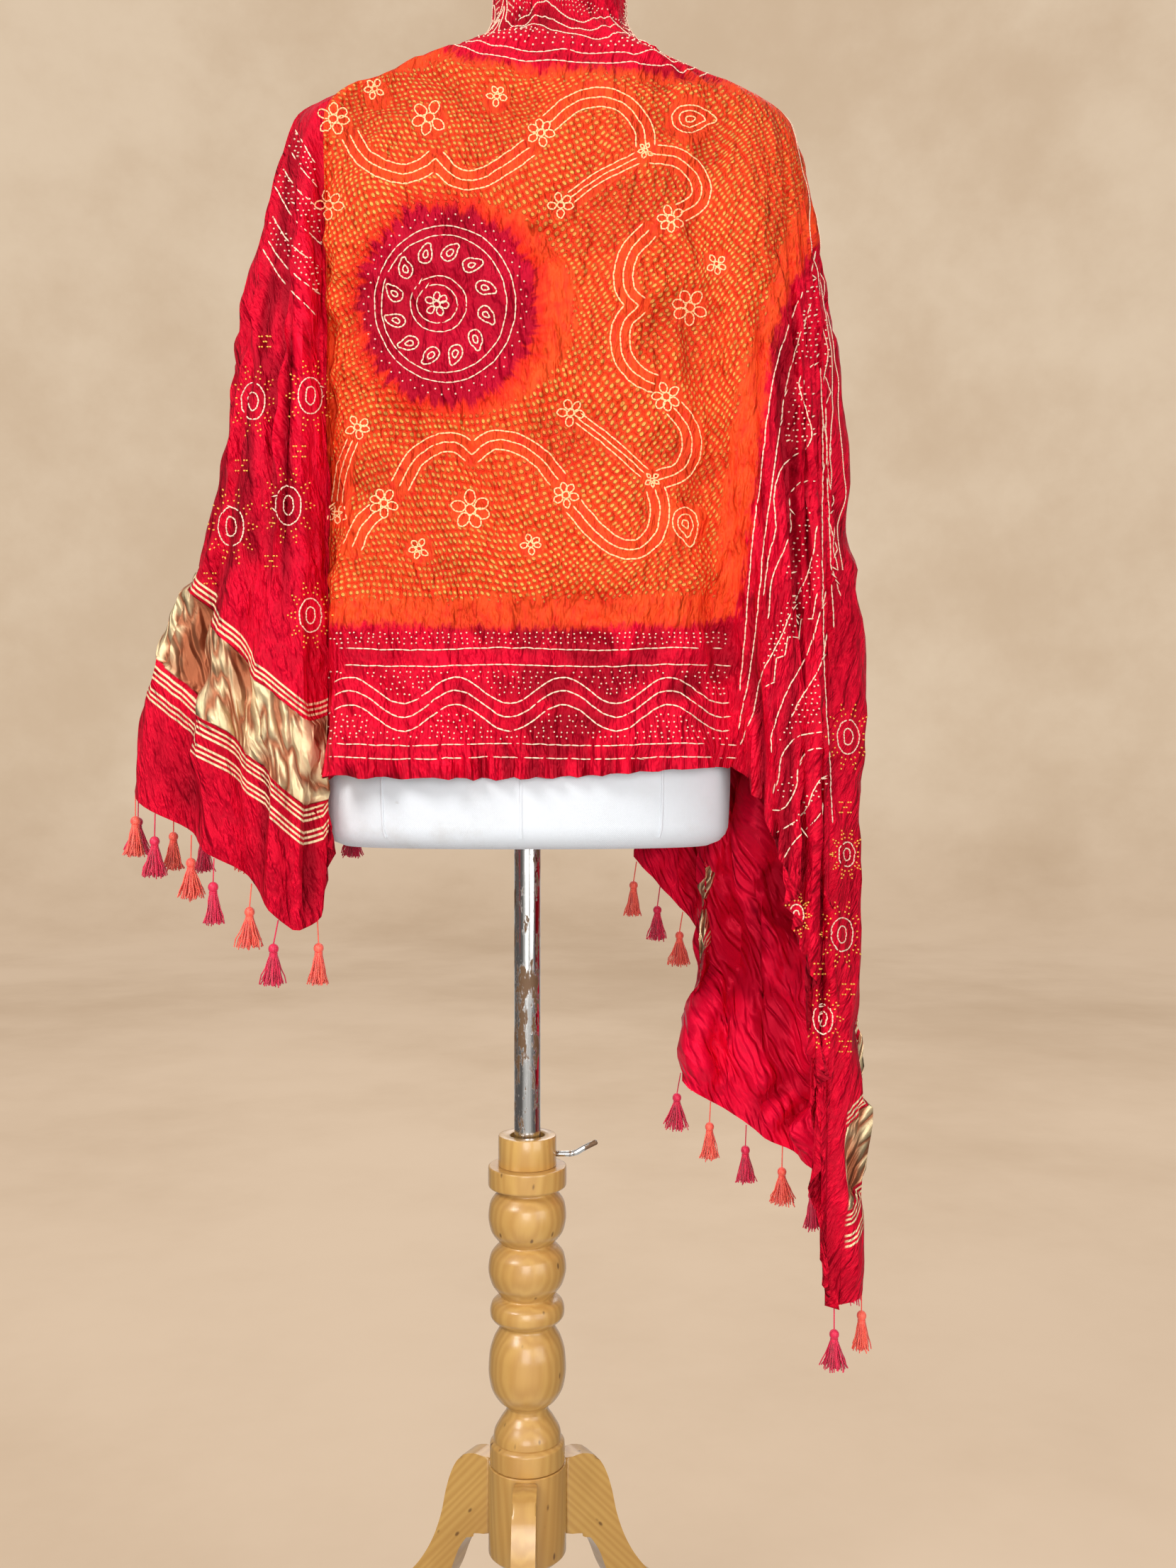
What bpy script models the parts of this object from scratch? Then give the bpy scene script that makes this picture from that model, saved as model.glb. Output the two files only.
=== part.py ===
# A bandhani cloth with tasselled ends, worn as a shawl by a padded dress form on a turned wooden stand.
# Metres, +Z up. The back of the form looks along -Y; the stand stands on Z = 0.
import math
from collections import namedtuple

import bmesh
import bpy
import numpy as np
from mathutils import Matrix, Vector
from mathutils.bvhtree import BVHTree

for old in list(bpy.data.objects):
    bpy.data.objects.remove(old, do_unlink=True)

# Driving sizes of the cloth and its hang
SHEET = 0.002                     # thickness of the woven silk with its crinkles
CLEAR = 0.0022                    # air between the cloth and the form where it hangs
SEAT = 0.00045                    # air where its weight rests on the neck and shoulders
SEAT_Z = 1.425                    # the cloth rests on the form above this height
GAP = 0.0003                      # running gap between touching pieces
NECK_X = 0.030                    # the form leans, so its neck stands beside the pole's axis
COWL = [                          # rings of the border standing round the neck: z, half width, half depth
    (1.600, 0.060, 0.057),
    (1.535, 0.062, 0.059),
    (1.504, 0.080, 0.070),
]
BLADE_Z = 1.300                   # heights at which the table gives each hang line's place
WAIST_Z = 1.050
HIP_Z = 0.880
COWL_ROWS = 6
FALL_ROWS = 15
PUSH_ROUNDS = 4
FOLD_PITCH = 0.074                # spacing of the soft vertical folds, measured along the row FOLD_ROW
FOLD_ROW = -3
FOLD_TWIST = 0.8                  # the folds drift sideways by this share of a radian down the cloth
FOLD_GROWTH = 0.7                 # how soon below the shoulder they deepen

# Hang lines from the left front edge, round the back, to the right front edge. Each runs from the cowl over
# the shoulder and then down. turn: degrees round the neck from the back; places in x, y and, where it varies,
# z; fold: depth of the soft folds; steps: columns of the sheet up to the next line.
Line = namedtuple("Line", "name turn shoulder blade waist hip end fold steps")
LINES = [
    Line("left front edge", -158, (-0.050, 0.076, 1.474), (-0.072, 0.136),
         (-0.088, 0.142), (-0.100, 0.150), (-0.112, 0.150, 0.862), 0.009, 3),
    Line("left front mid", -130, (-0.120, 0.062, 1.464), (-0.150, 0.118),
         (-0.185, 0.122), (-0.212, 0.122), (-0.222, 0.120, 0.812), 0.012, 4),
    Line("left front outer", -110, (-0.176, 0.034, 1.452), (-0.215, 0.060),
         (-0.262, 0.065), (-0.304, 0.060), (-0.326, 0.048, 0.812), 0.010, 3),
    Line("left silhouette", -92, (-0.202, -0.008, 1.442), (-0.241, -0.010),
         (-0.291, -0.014), (-0.348, -0.020), (-0.357, -0.020, 0.838), 0.004, 3),
    Line("left fall outer", -78, (-0.203, -0.042, 1.428), (-0.228, -0.060),
         (-0.267, -0.070), (-0.304, -0.070), (-0.304, -0.066, 0.806), 0.009, 3),
    Line("left fall mid", -67, (-0.193, -0.066, 1.418), (-0.206, -0.090),
         (-0.228, -0.100), (-0.245, -0.098), (-0.240, -0.090, 0.765), 0.010, 3),
    Line("left fall inner", -58, (-0.181, -0.080, 1.412), (-0.183, -0.103),
         (-0.184, -0.109), (-0.183, -0.103), (-0.192, -0.096, 0.716), 0.006, 2),
    Line("left hem corner", -53, (-0.173, -0.083, 1.410), (-0.173, -0.086),
         (-0.173, -0.079), (-0.174, -0.074), (-0.174, -0.074, 0.728), 0.000, 1),
    Line("left valley", -49, (-0.168, -0.086, 1.410), (-0.167, -0.081),
         (-0.165, -0.074), (-0.168, -0.070), (-0.168, -0.072, 0.848), 0.000, 2),
    Line("back left edge", -43, (-0.156, -0.092, 1.415), (-0.153, -0.104),
         (-0.151, -0.106), (-0.157, -0.109), (-0.158, -0.111, 0.847), 0.002, 3),
    Line("back left", -30, (-0.104, -0.090, 1.446), (-0.104, -0.121),
         (-0.100, -0.121), (-0.105, -0.125), (-0.105, -0.128, 0.846), 0.003, 4),
    Line("back mid left", -14, (-0.045, -0.092, 1.450), (-0.045, -0.126),
         (-0.045, -0.122), (-0.045, -0.129), (-0.045, -0.132, 0.845), 0.003, 4),
    Line("back centre", 0, (0.020, -0.092, 1.452), (0.020, -0.126),
         (0.018, -0.121), (0.015, -0.129), (0.015, -0.132, 0.846), 0.003, 4),
    Line("back mid right", 15, (0.080, -0.090, 1.450), (0.080, -0.123),
         (0.078, -0.120), (0.075, -0.127), (0.075, -0.130, 0.849), 0.003, 4),
    Line("back right", 32, (0.132, -0.086, 1.444), (0.126, -0.117),
         (0.126, -0.113), (0.130, -0.114), (0.130, -0.117, 0.853), 0.003, 4),
    Line("right valley", 48, (0.170, -0.080, 1.430), (0.154, -0.104),
         (0.167, -0.086), (0.181, -0.066), (0.181, -0.062, 0.856), 0.000, 3),
    Line("right fall inner", 58, (0.200, -0.070, 1.428), (0.196, -0.104),
         (0.206, -0.101), (0.213, -0.090), (0.213, -0.080, 0.796), 0.004, 3),
    Line("right fall mid", 68, (0.220, -0.056, 1.428), (0.233, -0.082),
         (0.241, -0.084), (0.245, -0.076), (0.243, -0.064, 0.690), 0.006, 2),
    Line("right fold", 80, (0.237, -0.033, 1.428), (0.256, -0.046),
         (0.268, -0.050), (0.273, -0.047), (0.272, -0.038, 0.374), 0.003, 2),
    Line("right silhouette", 94, (0.242, 0.004, 1.434), (0.268, -0.004),
         (0.292, -0.004), (0.303, -0.004), (0.304, -0.006, 0.382), 0.003, 3),
    Line("right front outer", 108, (0.226, 0.036, 1.442), (0.250, 0.046),
         (0.276, 0.050), (0.291, 0.046), (0.290, 0.030, 0.458), 0.007, 3),
    Line("right front mid", 125, (0.180, 0.058, 1.456), (0.207, 0.096),
         (0.226, 0.100), (0.236, 0.092), (0.228, 0.060, 0.502), 0.010, 3),
    Line("right front fold", 136, (0.146, 0.066, 1.463), (0.170, 0.119),
         (0.184, 0.124), (0.172, 0.116), (0.152, 0.082, 0.560), 0.006, 2),
    Line("right front tuck", 142, (0.128, 0.069, 1.467), (0.158, 0.131),
         (0.180, 0.140), (0.194, 0.142), (0.190, 0.132, 0.652), 0.000, 3),
    Line("right front inner", 150, (0.106, 0.073, 1.471), (0.122, 0.140),
         (0.136, 0.149), (0.146, 0.155), (0.148, 0.154, 0.716), 0.004, 3),
    Line("right front edge", 158, (0.088, 0.076, 1.474), (0.090, 0.142),
         (0.098, 0.148), (0.100, 0.152), (0.102, 0.152, 0.766), 0.006, 0),
]

# The dress form: height, half width, half depth, centre x, centre y
FORM_RINGS = [
    (0.7860, 0.165, 0.103, 0.000, 0.000),
    (0.7900, 0.175, 0.110, 0.000, 0.000),
    (0.8020, 0.183, 0.117, 0.000, 0.000),
    (0.8600, 0.185, 0.120, 0.000, 0.000),
    (0.9500, 0.174, 0.112, 0.001, 0.000),
    (1.0400, 0.152, 0.098, 0.003, 0.000),
    (1.1200, 0.153, 0.100, 0.005, 0.003),
    (1.2200, 0.165, 0.114, 0.009, 0.010),
    (1.3200, 0.176, 0.117, 0.014, 0.006),
    (1.3900, 0.190, 0.104, 0.019, 0.002),
    (1.4250, 0.193, 0.092, 0.021, 0.000),
    (1.4500, 0.180, 0.079, 0.023, 0.000),
    (1.4700, 0.150, 0.068, 0.025, 0.000),
    (1.4850, 0.115, 0.061, 0.027, 0.000),
    (1.4980, 0.080, 0.056, 0.029, 0.000),
    (1.5150, 0.060, 0.053, 0.030, 0.000),
    (1.5500, 0.054, 0.051, 0.030, 0.000),
    (1.5900, 0.053, 0.050, 0.030, 0.000),
    (1.5960, 0.049, 0.046, 0.030, 0.000),
]
FORM_SEGMENTS = 36
FORM_SQUARENESS = 2.4             # exponent of the rings' outline; 2 would be an ellipse

# The stand
POLE_RADIUS = 0.012
POLE_FOOT = 0.3800
POLE_HEAD = 0.9000
ROUND = 16
COLLAR_RADIUS = 0.0265
COLLAR_BORE = 0.0155
COLLAR_TOP = 0.5200
SCREW_RADIUS = 0.0025
SCREW_Z = 0.5020
SCREW_ROUND = 12
SCREW_ROUTE = [                   # bent rod from the pole outwards: distance from the axis, rise
    (POLE_RADIUS + GAP, 0.0),
    (0.0300, 0.0),
    (0.0410, 0.0),
    (0.0480, 0.0030),
    (0.0640, 0.0110),
]
PAST = 0.0200                     # how far a cutter reaches past what it cuts
COLUMN_SEGMENTS = 24
COLUMN = [                        # turned column from its top disc to the ring above the hub: height, radius
    (0.4920, 0.0300),
    (0.4920, 0.0352),
    (0.4905, 0.0358),
    (0.4750, 0.0358),
    (0.4732, 0.0350),
    (0.4690, 0.0262),
    (0.4650, 0.0295),
    (0.4570, 0.0343),
    (0.4460, 0.0355),
    (0.4340, 0.0335),
    (0.4250, 0.0275),
    (0.4215, 0.0240),
    (0.4180, 0.0280),
    (0.4100, 0.0338),
    (0.3980, 0.0355),
    (0.3860, 0.0330),
    (0.3770, 0.0270),
    (0.3730, 0.0241),
    (0.3660, 0.0315),
    (0.3590, 0.0339),
    (0.3520, 0.0315),
    (0.3462, 0.0242),
    (0.3340, 0.0305),
    (0.3200, 0.0345),
    (0.3060, 0.0354),
    (0.2920, 0.0335),
    (0.2790, 0.0265),
    (0.2715, 0.0187),
    (0.2600, 0.0245),
    (0.2480, 0.0305),
    (0.2425, 0.0309),
    (0.2405, 0.0335),
    (0.2380, 0.0342),
    (0.2205, 0.0342),
    (0.2205, 0.0300),
]
HUB_RADIUS = 0.0355
HUB_TOP = 0.2202
HUB_FOOT = 0.1340
HUB_CHAMFER = 0.0060
LEG_THICKNESS = 0.0210
LEG_ROOT = HUB_RADIUS + GAP
LEG_OUTLINE = [                   # side view of a leg, round from its top: distance from the axis, height
    (LEG_ROOT, 0.2180),
    (0.0500, 0.2190),
    (0.0640, 0.2150),
    (0.0750, 0.2020),
    (0.0840, 0.1780),
    (0.0890, 0.1560),
    (0.0970, 0.1330),
    (0.1100, 0.1090),
    (0.1320, 0.0830),
    (0.1700, 0.0560),
    (0.2150, 0.0370),
    (0.2500, 0.0300),
    (0.2700, 0.0250),
    (0.2790, 0.0130),
    (0.2760, 0.0000),
    (0.2480, 0.0000),
    (0.2200, 0.0030),
    (0.1700, 0.0170),
    (0.1250, 0.0430),
    (0.0960, 0.0730),
    (0.0800, 0.1000),
    (0.0680, 0.1280),
    (0.0540, 0.1440),
    (LEG_ROOT, 0.1480),
]
LEGS = [("leg_front", 0.0), ("leg_right", 120.0), ("leg_left", -120.0)]

# Tassels along the two ends
TASSEL_RUNS = [                   # lines between which tassels hang evenly, how many, insets at both ends
    ("left", "left front edge", "left hem corner", 16, 0.006, 0.006),
    ("right", "right fold", "right front fold", 9, 0.006, 0.000),
    ("right", "right front fold", "right front edge", 7, 0.040, 0.006),
]
LOCKS = 6
THREAD_RADIUS = 0.0006
TASSEL_PROFILE = [                # thread, head and neck: drop below the cloth's edge, radius
    (0.0000, THREAD_RADIUS),
    (0.0190, THREAD_RADIUS),
    (0.0205, 0.0030),
    (0.0240, 0.0048),
    (0.0280, 0.0034),
    (0.0330, 0.0046),
]
LOCK_DROP = 0.0230
LOCK_FLARE = 1.05                 # a lock's foot swings out by this share of its distance from the middle
LOCK_WIDTH = 0.80                 # a lock's width against its share of the skirt
STAND_OFF = 0.0140                # how far a tassel hangs clear of an upright stretch of edge
SETTLE_ROUNDS = 24
SETTLE_STEP = 0.00005
SETTLE_ROOM = 0.0012              # air kept between a hanging tassel and the cloth beside it
TASSEL_GIRTHS = [                 # room that a hanging tassel takes: drop, radius
    (0.0240, 0.0050),
    (0.0400, 0.0062),
    (0.0560, 0.0070),
]

MATERIALS = {                     # colour, roughness, metallic
    "red_silk": ((0.60, 0.01, 0.03), 0.45, 0.0),
    "form_cover": ((0.82, 0.82, 0.84), 0.85, 0.0),
    "chrome_pole": ((0.55, 0.54, 0.52), 0.25, 1.0),
    "turned_wood": ((0.66, 0.38, 0.13), 0.40, 0.0),
    "crimson_thread": ((0.50, 0.01, 0.06), 0.60, 0.0),
    "coral_thread": ((0.90, 0.12, 0.08), 0.60, 0.0),
}


def material(name):
    found = bpy.data.materials.get(name)
    if found:
        return found
    colour, roughness, metallic = MATERIALS[name]
    made = bpy.data.materials.new(name)
    made.use_nodes = True
    shader = made.node_tree.nodes["Principled BSDF"]
    shader.inputs["Base Color"].default_value = (*colour, 1.0)
    shader.inputs["Roughness"].default_value = roughness
    shader.inputs["Metallic"].default_value = metallic
    return made


def add_piece(name, bm, material_name, smooth=True):
    """Turn a bmesh into a named object with outward faces."""
    bmesh.ops.recalc_face_normals(bm, faces=bm.faces)
    mesh = bpy.data.meshes.new(name)
    bm.to_mesh(mesh)
    bm.free()
    mesh.materials.append(material(material_name))
    if smooth:
        mesh.shade_smooth()
        mesh.set_sharp_from_angle(angle=math.radians(40))
    piece = bpy.data.objects.new(name, mesh)
    bpy.context.collection.objects.link(piece)
    return piece


def cut(piece, bm, name):
    """Cut a closed shape out of a piece."""
    tool = add_piece(name, bm, "turned_wood", smooth=False)
    tool.hide_render = True
    tool.display_type = "WIRE"
    boolean = piece.modifiers.new(name, "BOOLEAN")
    boolean.operation = "DIFFERENCE"
    boolean.solver = "EXACT"
    boolean.object = tool


def run_along(points):
    """Length from the first point to each of the points."""
    return np.concatenate(([0.0], np.cumsum(np.linalg.norm(np.diff(points, axis=0), axis=1))))


def smooth_through(keys, values, wanted):
    """Monotone cubic through (keys, values), which keeps turns round without overshoot."""
    keys = np.asarray(keys, float)
    values = np.asarray(values, float)
    step = np.diff(keys)
    slope = np.diff(values, axis=0) / step[:, None]
    tangent = np.zeros_like(values)
    tangent[0] = slope[0]
    tangent[-1] = slope[-1]
    before = slope[:-1]
    after = slope[1:]
    same_way = before * after > 0
    weight_a = (2 * step[1:] + step[:-1])[:, None]
    weight_b = (step[1:] + 2 * step[:-1])[:, None]
    safe_before = np.where(same_way, before, 1.0)
    safe_after = np.where(same_way, after, 1.0)
    mean = (weight_a + weight_b) / (weight_a / safe_before + weight_b / safe_after)
    tangent[1:-1] = np.where(same_way, mean, 0.0)
    place = np.clip(np.searchsorted(keys, wanted, side="right") - 1, 0, len(keys) - 2)
    width = step[place][:, None]
    t = ((wanted - keys[place]) / step[place])[:, None]
    return ((2 * t**3 - 3 * t**2 + 1) * values[place] + (t**3 - 2 * t**2 + t) * width * tangent[place]
            + (3 * t**2 - 2 * t**3) * values[place + 1] + (t**3 - t**2) * width * tangent[place + 1])


def ring_of(count, centre, half_width, half_depth, z, power=2.0):
    """Points of an ellipse, squared where power is over 2, from the back and round to the right."""
    points = []
    for i in range(count):
        angle = 2 * math.pi * i / count
        s = math.sin(angle)
        c = -math.cos(angle)
        x = math.copysign(abs(s) ** (2 / power), s) * half_width
        y = math.copysign(abs(c) ** (2 / power), c) * half_depth
        points.append(Vector((centre[0] + x, centre[1] + y, z)))
    return points


def loft(rings):
    """A closed solid through rings with the same number of points."""
    bm = bmesh.new()
    made = [[bm.verts.new(point) for point in ring] for ring in rings]
    count = len(rings[0])
    for lower, upper in zip(made[:-1], made[1:]):
        for i in range(count):
            j = (i + 1) % count
            bm.faces.new((lower[i], lower[j], upper[j], upper[i]))
    bm.faces.new(made[0])
    bm.faces.new(made[-1])
    return bm


def cylinder(radius, z0, z1, segments=ROUND):
    rings = [ring_of(segments, (0.0, 0.0), radius, radius, z) for z in (z0, z1)]
    return loft(rings)


def dress_form():
    """Padded torso and neck; the pole's socket is cut into its flat underside."""
    rings = []
    for z, half_width, half_depth, centre_x, centre_y in FORM_RINGS:
        rings.append(ring_of(FORM_SEGMENTS, (centre_x, centre_y), half_width, half_depth, z, FORM_SQUARENESS))
    bm = loft(rings)
    bmesh.ops.triangulate(bm, faces=bm.faces)
    tree = BVHTree.FromBMesh(bm)
    form = add_piece("dress_form", bm, "form_cover")
    cut(form, cylinder(POLE_RADIUS + GAP, FORM_RINGS[0][0] - PAST, POLE_HEAD + GAP), "pole_socket")
    return form, tree


def hang_line(line, share):
    """Points of one hang line; share runs 0..1 down the cowl and 1..2 down the fall."""
    angle = math.radians(line.turn)
    points = []
    for z, half_width, half_depth in COWL:
        points.append((NECK_X + half_width * math.sin(angle), -half_depth * math.cos(angle), z))
    points += [line.shoulder, (*line.blade, BLADE_Z), (*line.waist, WAIST_Z), (*line.hip, HIP_Z), line.end]
    points = np.array(points)
    run = run_along(points)
    shoulder_run = run[len(COWL)]
    wanted = np.where(share <= 1, share * shoulder_run, shoulder_run + (share - 1) * (run[-1] - shoulder_run))
    return smooth_through(run, points, wanted)


def push_clear(rows, form_tree):
    """Lift the cloth off the form wherever a corner or the middle of a patch lies too near it."""
    shift = np.zeros_like(rows)
    last_row = rows.shape[0] - 1
    last_column = rows.shape[1] - 1
    for r in range(2 * last_row + 1):
        for c in range(2 * last_column + 1):
            corners = {(i, j) for i in (r // 2, (r + 1) // 2) for j in (c // 2, (c + 1) // 2)}
            point = Vector(sum(rows[i, j] for i, j in corners) / len(corners))
            if point.z < FORM_RINGS[2][0]:
                continue
            need = SHEET / 2 + (SEAT if point.z > SEAT_Z else CLEAR)
            near, outward, _, distance = form_tree.find_nearest(point)
            height = distance if (point - near).dot(outward) > 0 else -distance
            if height < need:
                for i, j in corners:
                    push = np.array(outward) * (need - height)
                    if np.linalg.norm(push) > np.linalg.norm(shift[i, j]):
                        shift[i, j] = push
    rows += shift


def cloth_grid(form_tree):
    """Rows of points down the cloth, columns from its left front edge to its right front edge."""
    share = np.concatenate((np.linspace(0, 1, COWL_ROWS, endpoint=False), np.linspace(1, 2, FALL_ROWS + 1)))
    lines = np.array([hang_line(line, share) for line in LINES])
    columns = []
    for i, line in enumerate(LINES[:-1]):
        columns.extend(np.linspace(i, i + 1, line.steps, endpoint=False))
    columns.append(len(LINES) - 1)
    columns = np.array(columns, float)
    rows = np.array([smooth_through(range(len(LINES)), lines[:, r], columns) for r in range(len(share))])
    fold = np.interp(columns, range(len(LINES)), [line.fold for line in LINES])
    around = run_along(rows[FOLD_ROW])
    for r, amount in enumerate(share):
        hang = np.clip(amount - 1, 0, 1) ** FOLD_GROWTH
        across = np.gradient(rows[r], axis=0)
        normal = np.stack((across[:, 1], -across[:, 0]), axis=1)
        normal /= np.linalg.norm(normal, axis=1)[:, None]
        wave = np.sin(2 * math.pi * around / FOLD_PITCH + FOLD_TWIST * amount) * fold * hang
        rows[r, :, :2] += normal * wave[:, None]
    for _ in range(PUSH_ROUNDS):
        push_clear(rows, form_tree)
    return rows


def outward_normals(rows):
    down = np.gradient(rows, axis=0)
    across = np.gradient(rows, axis=1)
    normal = np.cross(down, across)
    return normal / np.linalg.norm(normal, axis=2)[:, :, None]


def bandhani_cloth(rows):
    """One closed sheet of even thickness on the hung grid."""
    offset = outward_normals(rows) * SHEET / 2
    bm = bmesh.new()
    outer = [[bm.verts.new(point) for point in row] for row in rows + offset]
    inner = [[bm.verts.new(point) for point in row] for row in rows - offset]
    last_row = len(rows) - 1
    last_column = len(rows[0]) - 1
    for r in range(last_row):
        for c in range(last_column):
            bm.faces.new((outer[r][c], outer[r + 1][c], outer[r + 1][c + 1], outer[r][c + 1]))
            bm.faces.new((inner[r][c], inner[r][c + 1], inner[r + 1][c + 1], inner[r + 1][c]))
    for r in range(last_row):
        for c in (0, last_column):
            bm.faces.new((outer[r][c], inner[r][c], inner[r + 1][c], outer[r + 1][c]))
    for c in range(last_column):
        for r in (0, last_row):
            bm.faces.new((outer[r][c], inner[r][c], inner[r][c + 1], outer[r][c + 1]))
    tree = BVHTree.FromBMesh(bm)
    return add_piece("bandhani_cloth", bm, "red_silk"), tree


def tassel(name, root, lean, material_name):
    """Thread, wound head and a skirt of separate locks fused into the head's underside."""
    bm = bmesh.new()
    made = []
    for i, (drop, radius) in enumerate(TASSEL_PROFILE):
        place = root if i == 0 else root + lean
        ring = ring_of(LOCKS, (place.x, place.y), radius, radius, root.z - drop)
        made.append([bm.verts.new(point) for point in ring])
    for upper, lower in zip(made[:-1], made[1:]):
        for i in range(LOCKS):
            j = (i + 1) % LOCKS
            bm.faces.new((upper[i], upper[j], lower[j], lower[i]))
    bm.faces.new(made[0])
    hub = root + lean - Vector((0.0, 0.0, TASSEL_PROFILE[-1][0]))
    centre = bm.verts.new(hub)
    sectors = [bm.faces.new((made[-1][i], made[-1][(i + 1) % LOCKS], centre)) for i in range(LOCKS)]
    for sector in sectors:
        middle = sector.calc_center_median()
        outward = (middle - hub) * LOCK_FLARE
        lock_root = [bm.verts.new(middle + (v.co - middle) * LOCK_WIDTH) for v in sector.verts]
        foot = [bm.verts.new(v.co + outward - Vector((0.0, 0.0, LOCK_DROP))) for v in lock_root]
        rim = list(sector.verts)
        bm.faces.remove(sector)
        for i in range(3):
            j = (i + 1) % 3
            bm.faces.new((rim[i], rim[j], lock_root[j], lock_root[i]))
            bm.faces.new((lock_root[i], lock_root[j], foot[j], foot[i]))
        bm.faces.new(foot)
    return add_piece(name, bm, material_name, smooth=False)


def tassel_roots(edge, above, count, first_inset, last_inset):
    """Places evenly along a tasselled edge, each with the way out of the cloth there."""
    run = run_along(edge)
    wanted = np.linspace(first_inset, run[-1] - last_inset, count)
    place = np.clip(np.searchsorted(run, wanted) - 1, 0, len(edge) - 2)
    roots = []
    for here, i in zip(wanted, place):
        share = (here - run[i]) / (run[i + 1] - run[i])
        point = Vector(edge[i] * (1 - share) + edge[i + 1] * share)
        inside = Vector(above[i] * (1 - share) + above[i + 1] * share)
        along = Vector(edge[i + 1] - edge[i]).normalized()
        out = point - inside
        out = (out - along * out.dot(along)).normalized()
        roots.append((point, out))
    return roots


def settle(root, lean, cloth_tree):
    """Swing a tassel clear of the cloth beside it and drop its thread to a running gap under the edge."""
    for _ in range(SETTLE_ROUNDS):
        for drop, radius in TASSEL_GIRTHS:
            axis = root + lean - Vector((0.0, 0.0, drop))
            near, _, _, distance = cloth_tree.find_nearest(axis)
            lack = radius + SETTLE_ROOM - distance
            if lack > 0:
                lean = lean + Vector((axis.x - near.x, axis.y - near.y, 0.0)).normalized() * lack
    for _ in range(SETTLE_ROUNDS):
        rim = ring_of(LOCKS, (root.x, root.y), THREAD_RADIUS, THREAD_RADIUS, root.z)
        if min(cloth_tree.find_nearest(point)[3] for point in rim + [root]) > GAP:
            break
        root = root - Vector((0.0, 0.0, SETTLE_STEP))
    return root, lean


def tassels(rows, cloth_tree):
    """A row of tassels on threads below each end, crimson and coral by turns."""
    names = [line.name for line in LINES]
    starts = np.cumsum([0] + [line.steps for line in LINES])
    made = {"left": [], "right": []}
    for side, first, last, count, first_inset, last_inset in TASSEL_RUNS:
        part = slice(starts[names.index(first)], starts[names.index(last)] + 1)
        for point, out in tassel_roots(rows[-1][part], rows[-2][part], count, first_inset, last_inset):
            level = Vector((out.x, out.y, 0.0))
            root = point + out * (GAP + THREAD_RADIUS * level.length)
            root, lean = settle(root, level * level.length**3 * STAND_OFF, cloth_tree)
            number = len(made[side])
            colour = ("crimson_thread", "coral_thread")[number % 2]
            made[side].append(tassel(f"tassel_{side}_{number + 1:02d}", root, lean, colour))
    return made["left"] + made["right"]


def turned(profile, segments):
    """A solid of revolution; the profile runs from its top to its foot."""
    return loft([ring_of(segments, (0.0, 0.0), radius, radius, z) for z, radius in profile])


def stand():
    pole = add_piece("pole", cylinder(POLE_RADIUS, POLE_FOOT, POLE_HEAD), "chrome_pole")
    column = add_piece("column", turned(COLUMN, COLUMN_SEGMENTS), "turned_wood")
    column_top = COLUMN[0][0]
    cut(column, cylinder(POLE_RADIUS + GAP, POLE_FOOT - GAP, column_top + PAST), "column_socket")
    collar_foot = column_top + GAP
    outside = cylinder(COLLAR_RADIUS, collar_foot, COLLAR_TOP, COLUMN_SEGMENTS)
    collar = add_piece("collar", outside, "turned_wood")
    cut(collar, cylinder(COLLAR_BORE, collar_foot - PAST, COLLAR_TOP + PAST, COLUMN_SEGMENTS), "collar_bore")
    across = Matrix.Translation((0.0, 0.0, SCREW_Z)) @ Matrix.Rotation(math.radians(90), 4, "Y")
    hole = cylinder(SCREW_RADIUS + GAP, POLE_RADIUS, COLLAR_RADIUS + PAST, SCREW_ROUND)
    bmesh.ops.transform(hole, matrix=across, verts=hole.verts)
    cut(collar, hole, "screw_hole")
    hub = [(HUB_TOP, HUB_RADIUS), (HUB_FOOT + HUB_CHAMFER, HUB_RADIUS), (HUB_FOOT, HUB_RADIUS - HUB_CHAMFER)]
    return [pole, column, collar, add_piece("hub", turned(hub, COLUMN_SEGMENTS), "turned_wood")]


def lock_screw():
    """A bent rod that pinches the pole through the collar's wall."""
    rings = []
    for i, (x, rise) in enumerate(SCREW_ROUTE):
        x0, rise0 = SCREW_ROUTE[max(i - 1, 0)]
        x1, rise1 = SCREW_ROUTE[min(i + 1, len(SCREW_ROUTE) - 1)]
        tilt = Matrix.Rotation(-math.atan2(rise1 - rise0, x1 - x0), 3, "Y")
        here = Vector((x, 0.0, SCREW_Z + rise))
        ring = ring_of(SCREW_ROUND, (0.0, 0.0), SCREW_RADIUS, SCREW_RADIUS, 0.0)
        rings.append([here + tilt @ Vector((0.0, point.x, point.y)) for point in ring])
    return add_piece("lock_screw", loft(rings), "chrome_pole")


def leg(name, turn):
    """A cabriole leg sawn from board, set against the hub."""
    bm = bmesh.new()
    sides = []
    for side in (-1, 1):
        y = side * LEG_THICKNESS / 2
        sides.append([bm.verts.new((r, y, z)) for r, z in LEG_OUTLINE])
    near, far = sides
    bm.faces.new(near)
    bm.faces.new(far)
    for i in range(len(near)):
        j = (i + 1) % len(near)
        bm.faces.new((near[i], near[j], far[j], far[i]))
    turned_way = Matrix.Rotation(math.radians(turn - 90), 4, "Z")
    bmesh.ops.transform(bm, matrix=turned_way, verts=bm.verts)
    return add_piece(name, bm, "turned_wood", smooth=False)


form, form_tree = dress_form()
rows = cloth_grid(form_tree)
cloth, cloth_tree = bandhani_cloth(rows)
pieces = [form, cloth]
pieces += tassels(rows, cloth_tree)
pieces += stand()
pieces.append(lock_screw())
pieces += [leg(name, turn) for name, turn in LEGS]

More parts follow.
